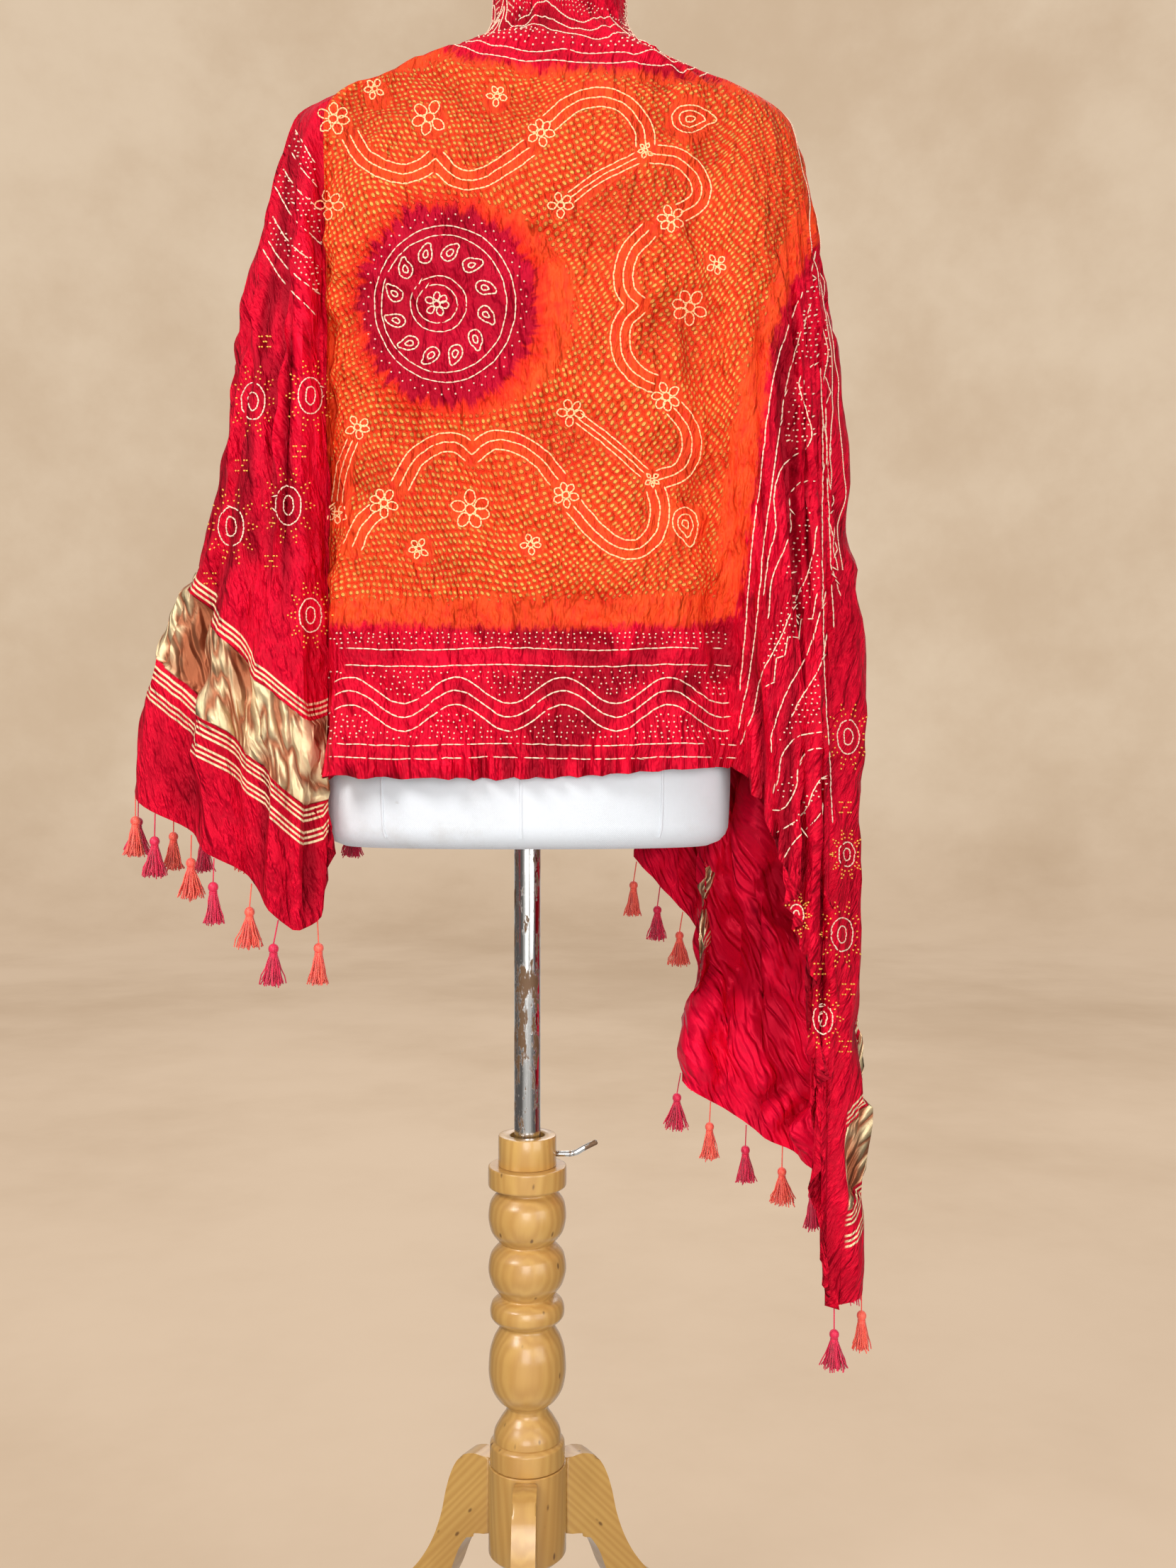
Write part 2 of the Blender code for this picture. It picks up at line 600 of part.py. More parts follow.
# The row's frame has its origin under the middle of the whole, so everything hangs on one shifted empty.
bpy.context.view_layer.update()
corners = [piece.matrix_world @ Vector(corner) for piece in pieces for corner in piece.bound_box]
middle_x = (min(c.x for c in corners) + max(c.x for c in corners)) / 2
middle_y = (min(c.y for c in corners) + max(c.y for c in corners)) / 2
origin = bpy.data.objects.new("stand_axis", None)
origin.location = (-middle_x, -middle_y, 0.0)
bpy.context.collection.objects.link(origin)
for thing in list(bpy.context.collection.objects):
    if thing is not origin:
        thing.parent = origin
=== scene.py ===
import math

import bmesh
import bpy
import numpy as np
from mathutils import Matrix, Vector
from mathutils.bvhtree import BVHTree


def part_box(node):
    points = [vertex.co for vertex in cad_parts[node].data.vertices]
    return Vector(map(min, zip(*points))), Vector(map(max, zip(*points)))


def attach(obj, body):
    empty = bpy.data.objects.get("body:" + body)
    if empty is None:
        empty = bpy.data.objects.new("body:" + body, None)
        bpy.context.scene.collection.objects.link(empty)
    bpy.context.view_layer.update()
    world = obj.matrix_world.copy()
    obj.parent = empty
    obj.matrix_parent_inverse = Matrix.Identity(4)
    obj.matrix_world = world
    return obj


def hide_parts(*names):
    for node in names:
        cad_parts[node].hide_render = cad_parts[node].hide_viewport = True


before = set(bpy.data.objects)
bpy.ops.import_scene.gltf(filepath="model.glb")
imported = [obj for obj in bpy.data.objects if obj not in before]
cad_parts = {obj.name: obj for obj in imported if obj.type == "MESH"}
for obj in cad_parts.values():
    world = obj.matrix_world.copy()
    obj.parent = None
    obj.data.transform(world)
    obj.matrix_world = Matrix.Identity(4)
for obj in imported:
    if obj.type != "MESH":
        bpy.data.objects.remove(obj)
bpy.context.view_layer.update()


# Turned column: a honey-coloured softwood column with a disc, beads, a saucer ring and a long bell, turned
# on a lathe in one piece, bored for the pole and finished in satin varnish over small knots and dark specks.

low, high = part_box("pole")
STAND = Vector(((low[0] + high[0]) / 2, (low[1] + high[1]) / 2, 0.0))
WOOD_LIGHT = (0.65, 0.38, 0.11, 1)
WOOD_DEEP = (0.43, 0.20, 0.045, 1)
WOOD_SPECK = (0.10, 0.035, 0.012, 1)
COLUMN_SEGMENTS = 96
POLE_BORE = 0.0126
POLE_REST = 0.3795
COLUMN = [                        # height, radius
    (0.4920, POLE_BORE), (0.4920, 0.0290), (0.4920, 0.0346), (0.4915, 0.0355), (0.4905, 0.0358),
    (0.4830, 0.0359), (0.4750, 0.0358), (0.4738, 0.0354), (0.4732, 0.0346), (0.4732, 0.0300),
    (0.4712, 0.0268), (0.4690, 0.0262), (0.4660, 0.0288), (0.4570, 0.0343), (0.4460, 0.0356),
    (0.4340, 0.0335), (0.4250, 0.0275), (0.4215, 0.0240), (0.4180, 0.0280), (0.4100, 0.0338),
    (0.3980, 0.0356), (0.3860, 0.0330), (0.3770, 0.0270), (0.3730, 0.0241), (0.3700, 0.0290),
    (0.3665, 0.0325), (0.3600, 0.0340), (0.3560, 0.0337), (0.3520, 0.0312), (0.3475, 0.0250),
    (0.3462, 0.0242), (0.3430, 0.0258), (0.3340, 0.0308), (0.3200, 0.0346), (0.3060, 0.0354),
    (0.2920, 0.0335), (0.2790, 0.0265), (0.2740, 0.0205), (0.2715, 0.0190), (0.2690, 0.0192),
    (0.2600, 0.0245), (0.2480, 0.0305), (0.2430, 0.0311), (0.2425, 0.0298), (0.2405, 0.0325),
    (0.2385, 0.0341), (0.2300, 0.0343), (0.2215, 0.0342), (0.2207, 0.0336), (0.2206, 0.0290),
]


def node(tree, kind, inputs=None, **settings):
    """Add a node; inputs are sockets to link or plain values."""
    made = tree.nodes.new(kind)
    for key, value in settings.items():
        setattr(made, key, value)
    for key, value in (inputs or {}).items():
        if isinstance(value, bpy.types.NodeSocket):
            tree.links.new(value, made.inputs[key])
        else:
            made.inputs[key].default_value = value
    return made


def maths(tree, operation, *values):
    made = node(tree, "ShaderNodeMath", dict(enumerate(values)), operation=operation)
    return made.outputs[0]


def ramp(tree, value, start, stop, first=0.0, last=1.0):
    """Ease from first to last while value goes from start to stop."""
    inputs = {"Value": value, "From Min": start, "From Max": stop, "To Min": first, "To Max": last}
    return node(tree, "ShaderNodeMapRange", inputs, interpolation_type="SMOOTHSTEP").outputs["Result"]


def mixed(tree, factor, first, last, way="MIX"):
    inputs = {"Factor": factor, "A": first, "B": last}
    made = tree.nodes.new("ShaderNodeMix")
    made.data_type = "RGBA"
    made.blend_type = way
    sockets = {"Factor": made.inputs[0], "A": made.inputs[6], "B": made.inputs[7]}
    for key, value in inputs.items():
        if isinstance(value, bpy.types.NodeSocket):
            tree.links.new(value, sockets[key])
        else:
            sockets[key].default_value = value
    return made.outputs[2]


def cloudy(tree, place, scale, detail=3.0, roughness=0.5):
    inputs = {"Vector": place, "Scale": scale, "Detail": detail, "Roughness": roughness}
    return node(tree, "ShaderNodeTexNoise", inputs).outputs["Fac"]


def stretched(tree, place, scale, turn=(0.0, 0.0, 0.0)):
    made = node(tree, "ShaderNodeMapping", {"Vector": place, "Scale": scale, "Rotation": turn})
    return made.outputs["Vector"]


def attribute(tree, name, part="Fac"):
    return node(tree, "ShaderNodeAttribute", attribute_name=name).outputs[part]


def finish(name, roughness, metallic=0.0, **sockets):
    """A material with its shader; returns the material, its tree and the shader's inputs."""
    made = bpy.data.materials.new(name)
    made.use_nodes = True
    shader = made.node_tree.nodes["Principled BSDF"]
    shader.inputs["Roughness"].default_value = roughness
    shader.inputs["Metallic"].default_value = metallic
    for key, value in sockets.items():
        shader.inputs[key.replace("_", " ")].default_value = value
    return made, made.node_tree, shader.inputs


def raised(tree, height, depth, strength=1.0):
    inputs = {"Height": height, "Distance": depth, "Strength": strength}
    return node(tree, "ShaderNodeBump", inputs).outputs["Normal"]


def effect(name, inputs, outputs):
    """A shader node group with named sockets; returns its tree, its input and its output node."""
    tree = bpy.data.node_groups.new(name, "ShaderNodeTree")
    for label, kind, value in inputs:
        socket = tree.interface.new_socket(label, in_out="INPUT", socket_type=kind)
        if value is not None:
            socket.default_value = value
    for label, kind in outputs:
        tree.interface.new_socket(label, in_out="OUTPUT", socket_type=kind)
    return tree, tree.nodes.new("NodeGroupInput").outputs, tree.nodes.new("NodeGroupOutput").inputs


def use(tree, group, **inputs):
    made = tree.nodes.new("ShaderNodeGroup")
    made.node_tree = group
    for key, value in inputs.items():
        socket = made.inputs[key]
        if isinstance(value, bpy.types.NodeSocket):
            tree.links.new(value, socket)
        else:
            socket.default_value = value
    return made.outputs


specks, given, result = effect(
    "specks",
    [("Place", "NodeSocketVector", None), ("Scale", "NodeSocketFloat", 60.0), ("Share", "NodeSocketFloat", 0.1)],
    [("Mask", "NodeSocketFloat")])
cells = node(specks, "ShaderNodeTexVoronoi", {"Vector": given["Place"], "Scale": given["Scale"]})
chosen = node(specks, "ShaderNodeSeparateColor", {"Color": cells.outputs["Color"]}).outputs[0]
near = ramp(specks, cells.outputs["Distance"], 0.10, 0.30, 1.0, 0.0)
rare = maths(specks, "LESS_THAN", chosen, given["Share"])
specks.links.new(maths(specks, "MULTIPLY", near, rare), result["Mask"])

wood, tree, shader = finish("honey_wood", 0.34, Coat_Weight=0.35, Coat_Roughness=0.18)
grain = attribute(tree, "grain", "Vector")
waver = cloudy(tree, stretched(tree, grain, (3.0, 3.0, 0.5)), 5.0)
rings = node(tree, "ShaderNodeTexWave", {
    "Vector": stretched(tree, grain, (1.0, 1.0, 0.05)), "Scale": 55.0, "Distortion": 5.0,
    "Detail": 2.0, "Detail Scale": 1.3}, wave_type="BANDS", bands_direction="X").outputs["Fac"]
fibre = cloudy(tree, stretched(tree, grain, (420.0, 420.0, 14.0)), 1.0, 4.0, 0.7)
knots = use(tree, specks, Place=stretched(tree, grain, (1.0, 1.0, 0.5)), Scale=16.0, Share=0.06)["Mask"]
pores = use(tree, specks, Place=stretched(tree, grain, (1.0, 1.0, 0.45)), Scale=150.0, Share=0.06)["Mask"]
colour = mixed(tree, maths(tree, "MULTIPLY", rings, 0.42), WOOD_LIGHT, WOOD_DEEP)
colour = mixed(tree, ramp(tree, waver, 0.35, 0.75, 0.0, 0.5), colour, WOOD_DEEP)
colour = mixed(tree, maths(tree, "MULTIPLY", fibre, 0.22), colour, WOOD_DEEP)
colour = mixed(tree, maths(tree, "MULTIPLY", knots, 0.55), colour, WOOD_SPECK)
colour = mixed(tree, maths(tree, "MULTIPLY", pores, 0.75), colour, WOOD_SPECK)
tree.links.new(colour, shader["Base Color"])
tree.links.new(ramp(tree, waver, 0.3, 0.8, 0.28, 0.46), shader["Roughness"])
tree.links.new(raised(tree, fibre, 0.0002, 0.4), shader["Normal"])


def run_along(points):
    """Length from the first point to each of the points."""
    return np.concatenate(([0.0], np.cumsum(np.linalg.norm(np.diff(points, axis=0), axis=1))))


def smooth_through(keys, values, wanted):
    """Monotone cubic through (keys, values), which keeps turns round without overshoot."""
    keys = np.asarray(keys, float)
    values = np.asarray(values, float)
    step = np.diff(keys)
    slope = np.diff(values, axis=0) / step[:, None]
    tangent = np.zeros_like(values)
    tangent[0] = slope[0]
    tangent[-1] = slope[-1]
    before = slope[:-1]
    after = slope[1:]
    same_way = before * after > 0
    weight_a = (2 * step[1:] + step[:-1])[:, None]
    weight_b = (step[1:] + 2 * step[:-1])[:, None]
    safe_before = np.where(same_way, before, 1.0)
    safe_after = np.where(same_way, after, 1.0)
    mean = (weight_a + weight_b) / (weight_a / safe_before + weight_b / safe_after)
    tangent[1:-1] = np.where(same_way, mean, 0.0)
    place = np.clip(np.searchsorted(keys, wanted, side="right") - 1, 0, len(keys) - 2)
    width = step[place][:, None]
    t = ((wanted - keys[place]) / step[place])[:, None]
    return ((2 * t**3 - 3 * t**2 + 1) * values[place] + (t**3 - 2 * t**2 + t) * width * tangent[place]
            + (3 * t**2 - 2 * t**3) * values[place + 1] + (t**3 - t**2) * width * tangent[place + 1])


def rounded(points, count):
    """The same outline with its curves filled in by count points."""
    points = np.array(points, float)
    run = run_along(points)
    return smooth_through(run, points, np.unique(np.concatenate((run, np.linspace(0, run[-1], count)))))


def link_piece(name, mesh, material, sharp=40):
    mesh.materials.append(material)
    mesh.shade_smooth()
    mesh.set_sharp_from_angle(angle=math.radians(sharp))
    piece = bpy.data.objects.new(name, mesh)
    bpy.context.collection.objects.link(piece)
    return piece


def mesh_piece(name, bm, material, sharp=40):
    bmesh.ops.recalc_face_normals(bm, faces=bm.faces)
    mesh = bpy.data.meshes.new(name)
    bm.to_mesh(mesh)
    bm.free()
    return link_piece(name, mesh, material, sharp)


def ring_of(count, centre, half_width, half_depth, z, power=2.0):
    """Points of an ellipse, squared where power is over 2, from the back and round to the right."""
    angle = 2 * math.pi * np.arange(count) / count
    s = np.sin(angle)
    c = -np.cos(angle)
    x = np.sign(s) * np.abs(s) ** (2 / power) * half_width
    y = np.sign(c) * np.abs(c) ** (2 / power) * half_depth
    return np.stack((centre[0] + x, centre[1] + y, np.full(count, z)), axis=1)


def skin(bm, rings, caps=(True, True), loop=False):
    """Faces between rings of points, closed by flat caps or into a loop."""
    made = [[bm.verts.new(point) for point in ring] for ring in rings]
    count = len(made[0])
    pairs = list(zip(made[:-1], made[1:])) + ([(made[-1], made[0])] if loop else [])
    for lower, upper in pairs:
        for i in range(count):
            j = (i + 1) % count
            bm.faces.new((lower[i], lower[j], upper[j], upper[i]))
    for cap, ring in zip(caps, (made[0], made[-1])):
        if cap and not loop:
            bm.faces.new(ring)


def turned(name, outline, material, segments=COLUMN_SEGMENTS, loop=False):
    """A piece turned on the stand's axis from an outline of height and radius."""
    bm = bmesh.new()
    skin(bm, [ring_of(segments, STAND, radius, radius, z) for z, radius in outline], loop=loop)
    return mesh_piece(name, bm, material)


def lay_grain(piece, long_way, turn=0.0, offset=(0.0, 0.0, 0.0)):
    """Store each point's place in the board it was cut from, with Z along the fibres."""
    spin = Matrix.Rotation(math.radians(-turn), 3, "Z")
    across = Vector((1.0, 0.0, 0.0)) if abs(long_way[2]) > 0.9 else Vector((0.0, 1.0, 0.0))
    z = Vector(long_way).normalized()
    x = across.cross(z).normalized()
    board = Matrix((x, z.cross(x), z))
    layer = piece.data.attributes.new("grain", "FLOAT_VECTOR", "POINT")
    for i, vertex in enumerate(piece.data.vertices):
        layer.data[i].vector = board @ (spin @ (vertex.co - STAND)) + Vector(offset)


bored = [(POLE_REST, POLE_BORE)] + [tuple(p) for p in rounded(COLUMN, 190)]
column = turned("turned_column", bored, wood)
lay_grain(column, (0.12, 0.05, 1.0))
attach(column, "root")
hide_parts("column")


# Collar: a short wooden sleeve glued on the column's disc, with eased edges, that hides the pole's joint.

COLLAR = [(0.4923, 0.0158), (0.4923, 0.0262), (0.4930, 0.0265), (0.5060, 0.0266), (0.5186, 0.0265),
          (0.5197, 0.0260), (0.5200, 0.0250), (0.5200, 0.0172), (0.5192, 0.0160), (0.5100, 0.0158)]
collar = turned("pole_collar", COLLAR, wood, loop=True)
lay_grain(collar, (0.05, -0.04, 1.0), offset=(0.31, 0.12, 0.40))
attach(collar, "root")
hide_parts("collar")


# Hub: the plain cylinder under the column that the three legs are screwed to, chamfered at its foot.

HUB = [(0.2202, 0.0300), (0.2202, 0.0348), (0.2195, 0.0355), (0.1700, 0.0355), (0.1402, 0.0355),
       (0.1396, 0.0352), (0.1345, 0.0299), (0.1340, 0.0290)]
hub = turned("leg_hub", HUB, wood)
lay_grain(hub, (0.03, 0.06, 1.0), offset=(0.12, -0.21, 0.77))
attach(hub, "root")
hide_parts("hub")


# Legs: three cabriole legs sawn from 21 mm board, their edges rounded over and the grain along the board.

LEG_THICKNESS = 0.0210
LEG_EASE = 0.0026
LEG_OUTLINE = [                   # side view: distance from the axis, height
    (0.0358, 0.2180), (0.0500, 0.2190), (0.0640, 0.2150), (0.0750, 0.2020), (0.0840, 0.1780),
    (0.0890, 0.1560), (0.0970, 0.1330), (0.1100, 0.1090), (0.1320, 0.0830), (0.1700, 0.0560),
    (0.2150, 0.0370), (0.2500, 0.0300), (0.2700, 0.0250), (0.2790, 0.0130), (0.2760, 0.0000),
    (0.2480, 0.0000), (0.2200, 0.0030), (0.1700, 0.0170), (0.1250, 0.0430), (0.0960, 0.0730),
    (0.0800, 0.1000), (0.0680, 0.1280), (0.0540, 0.1440), (0.0358, 0.1480),
]
LEG_TURNS = [("front", 0.0), ("right", 120.0), ("left", -120.0)]


def sawn_leg(name, turn):
    outline = rounded(LEG_OUTLINE, 120)
    bm = bmesh.new()
    sides = [[bm.verts.new((r, side * LEG_THICKNESS / 2, z)) for r, z in outline] for side in (-1, 1)]
    faces = [bm.faces.new(side) for side in sides]
    for i in range(len(outline)):
        j = (i + 1) % len(outline)
        bm.faces.new((sides[0][i], sides[0][j], sides[1][j], sides[1][i]))
    rims = [edge for face in faces for edge in face.edges]
    bmesh.ops.bevel(bm, geom=rims, offset=LEG_EASE, segments=3, affect="EDGES", profile=0.5)
    bmesh.ops.triangulate(bm, faces=[face for face in bm.faces if len(face.verts) > 4])
    place = Matrix.Translation(STAND) @ Matrix.Rotation(math.radians(turn - 90), 4, "Z")
    bmesh.ops.transform(bm, matrix=place, verts=bm.verts)
    return mesh_piece(name, bm, wood, 50)


for i, (way, turn) in enumerate(LEG_TURNS):
    leg = sawn_leg(f"sawn_leg_{way}", turn)
    lay_grain(leg, (0.55, 0.0, -0.60), turn - 90, (0.4 * i, 0.2, 0.3 * i))
    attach(leg, "root")
    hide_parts(f"leg_{way}")


# Pole: a 24 mm steel tube, chrome plated, that carries the form. The plating is worn through in places to
# brown flecks and is scratched lengthwise where the form was slid up and down.

POLE_RADIUS = 0.012
TUBE = [(0.3800, 0.0112), (0.3806, 0.0120), (0.5000, POLE_RADIUS), (0.7000, POLE_RADIUS),
        (0.8994, POLE_RADIUS), (0.9000, 0.0112)]
chrome, tree, shader = finish("worn_chrome", 0.16, 1.0)
place = node(tree, "ShaderNodeTexCoord").outputs["Object"]
scratch = cloudy(tree, stretched(tree, place, (900.0, 900.0, 12.0)), 1.0, 3.0, 0.6)
patches = cloudy(tree, stretched(tree, place, (75.0, 75.0, 20.0)), 1.0, 7.0, 0.74)
fleck = use(tree, specks, Place=stretched(tree, place, (1.0, 1.0, 0.6)), Scale=260.0, Share=0.16)["Mask"]
worn = maths(tree, "MAXIMUM", ramp(tree, patches, 0.515, 0.545), maths(tree, "MULTIPLY", fleck, 0.75))
colour = mixed(tree, ramp(tree, scratch, 0.3, 0.8), (0.74, 0.73, 0.71, 1), (0.50, 0.49, 0.47, 1))
colour = mixed(tree, worn, colour, (0.16, 0.085, 0.04, 1))
tree.links.new(colour, shader["Base Color"])
tree.links.new(maths(tree, "MULTIPLY_ADD", worn, 0.45, ramp(tree, scratch, 0.2, 0.9, 0.10, 0.26)), shader["Roughness"])
tree.links.new(maths(tree, "SUBTRACT", 1.0, maths(tree, "MULTIPLY", worn, 0.75)), shader["Metallic"])
tree.links.new(raised(tree, maths(tree, "SUBTRACT", scratch, worn), 0.0002, 0.35), shader["Normal"])
tube = turned("chrome_tube", TUBE, chrome, 64)
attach(tube, "root")
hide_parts("pole")


# Clamp screw: a bent steel rod through the collar that pinches the pole at its height.

SCREW_ROUTE = [(0.0123, 0.0), (0.0300, 0.0), (0.0400, 0.0), (0.0455, 0.0014), (0.0500, 0.0042),
               (0.0560, 0.0074), (0.0630, 0.0107), (0.0640, 0.0111)]
SCREW_Z = 0.5020
SCREW_GIRTH = [0.0022, 0.0025, 0.0025, 0.0025, 0.0025, 0.0025, 0.0024, 0.0016]
bm = bmesh.new()
rings = []
for i, (reach, rise) in enumerate(SCREW_ROUTE):
    before = SCREW_ROUTE[max(i - 1, 0)]
    after = SCREW_ROUTE[min(i + 1, len(SCREW_ROUTE) - 1)]
    tilt = Matrix.Rotation(-math.atan2(after[1] - before[1], after[0] - before[0]), 3, "Y")
    here = STAND + Vector((reach, 0.0, SCREW_Z + rise))
    ring = ring_of(20, (0.0, 0.0), SCREW_GIRTH[i], SCREW_GIRTH[i], 0.0)
    rings.append([here + tilt @ Vector((0.0, x, y)) for x, y, _ in ring])
skin(bm, rings)
screw = mesh_piece("clamp_screw", bm, chrome)
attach(screw, "root")
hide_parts("lock_screw")


# Dress form: a padded torso with a short neck, covered in white cotton jersey that is pulled over a hard
# shell, seamed down its sides and panels, a little soiled by handling along the lower edge.

FORM_RINGS = [                    # height, half width, half depth, centre x, centre y
    (0.7860, 0.165, 0.103, 0.000, 0.000), (0.7900, 0.175, 0.110, 0.000, 0.000),
    (0.8020, 0.183, 0.117, 0.000, 0.000), (0.8600, 0.185, 0.120, 0.000, 0.000),
    (0.9500, 0.174, 0.112, 0.001, 0.000), (1.0400, 0.152, 0.098, 0.003, 0.000),
    (1.1200, 0.153, 0.100, 0.005, 0.003), (1.2200, 0.165, 0.114, 0.009, 0.010),
    (1.3200, 0.176, 0.117, 0.014, 0.006), (1.3900, 0.190, 0.104, 0.019, 0.002),
    (1.4250, 0.193, 0.092, 0.021, 0.000), (1.4500, 0.180, 0.079, 0.023, 0.000),
    (1.4700, 0.150, 0.068, 0.025, 0.000), (1.4850, 0.115, 0.061, 0.027, 0.000),
    (1.4980, 0.080, 0.056, 0.029, 0.000), (1.5150, 0.060, 0.053, 0.030, 0.000),
    (1.5500, 0.054, 0.051, 0.030, 0.000), (1.5900, 0.053, 0.050, 0.030, 0.000),
    (1.5960, 0.049, 0.046, 0.030, 0.000),
]
FORM_SQUARENESS = 2.4
FORM_AROUND = 120
SEAM_TURNS = [0, 36, 90, 144, 180, 216, 270, 324]
SEAM_RADIUS = 0.0009

weave, given, result = effect(
    "weave",
    [("Place", "NodeSocketVector", None), ("Threads", "NodeSocketFloat", 1500.0)],
    [("Height", "NodeSocketFloat")])
split = node(weave, "ShaderNodeSeparateXYZ", {"Vector": given["Place"]}).outputs
warp = maths(weave, "SINE", maths(weave, "MULTIPLY", split[0], given["Threads"]))
weft = maths(weave, "SINE", maths(weave, "MULTIPLY", split[1], given["Threads"]))
level = maths(weave, "MULTIPLY_ADD", maths(weave, "MULTIPLY", warp, weft), 0.5, 0.5)
weave.links.new(level, result["Height"])

jersey, tree, shader = finish("white_jersey", 0.85, Sheen_Weight=0.25)
place = node(tree, "ShaderNodeTexCoord").outputs["Object"]
soil = cloudy(tree, place, 22.0, 5.0, 0.65)
height = node(tree, "ShaderNodeSeparateXYZ", {"Vector": place}).outputs["Z"]
handled = maths(tree, "MULTIPLY", ramp(tree, height, 0.79, 0.83, 1.0, 0.25), ramp(tree, soil, 0.5, 0.72))
marks = use(tree, specks, Place=place, Scale=90.0, Share=0.02)["Mask"]
colour = mixed(tree, maths(tree, "MULTIPLY", handled, 0.40), (0.73, 0.75, 0.78, 1), (0.55, 0.52, 0.49, 1))
colour = mixed(tree, maths(tree, "MULTIPLY", marks, 0.45), colour, (0.35, 0.30, 0.27, 1))
tree.links.new(colour, shader["Base Color"])
knit = use(tree, weave, Place=stretched(tree, place, (1.0, 1.0, 1.0), (math.radians(90), 0.0, 0.0)),
           Threads=3600.0)["Height"]
tree.links.new(raised(tree, maths(tree, "MULTIPLY_ADD", soil, 0.8, knit), 0.0004, 0.35), shader["Normal"])

form_rows = np.array(FORM_RINGS)
heights = np.unique(np.concatenate((form_rows[:, 0], np.linspace(0.786, 1.596, 84))))
fine_rows = smooth_through(form_rows[:, 0], form_rows, heights)
bm = bmesh.new()
form_rings = [ring_of(FORM_AROUND, (STAND.x + x, STAND.y + y), width, depth, z, FORM_SQUARENESS)
              for z, width, depth, x, y in fine_rows]
skin(bm, form_rings)
bmesh.ops.recalc_face_normals(bm, faces=bm.faces)
form_tree = BVHTree.FromBMesh(bm)
for degrees in SEAM_TURNS:
    k = round(degrees / 360 * FORM_AROUND) % FORM_AROUND
    route = [Vector(ring[k]) for ring in form_rings[2:-3]]
    seam = []
    for i, here in enumerate(route):
        along = (route[min(i + 1, len(route) - 1)] - route[max(i - 1, 0)]).normalized()
        side = along.cross(Vector((here.x - STAND.x, here.y - STAND.y, 0.0))).normalized()
        out = side.cross(along)
        seam.append([here + (side * math.cos(a) * 1.6 + out * math.sin(a)) * SEAM_RADIUS
                     for a in (2 * math.pi * k / 6 for k in range(6))])
    skin(bm, seam)
form = mesh_piece("covered_form", bm, jersey, 60)
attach(form, "root")
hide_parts("dress_form")


# Bandhani cloth: one long piece of soft gajji silk, hung round the neck with its border standing up as a
# cowl and both ends brought over the shoulders to the front. Each dot and line is a pinch of cloth that
# was bound with thread before dyeing, so the silk is crimped all over; a gold tissue band crosses each end.

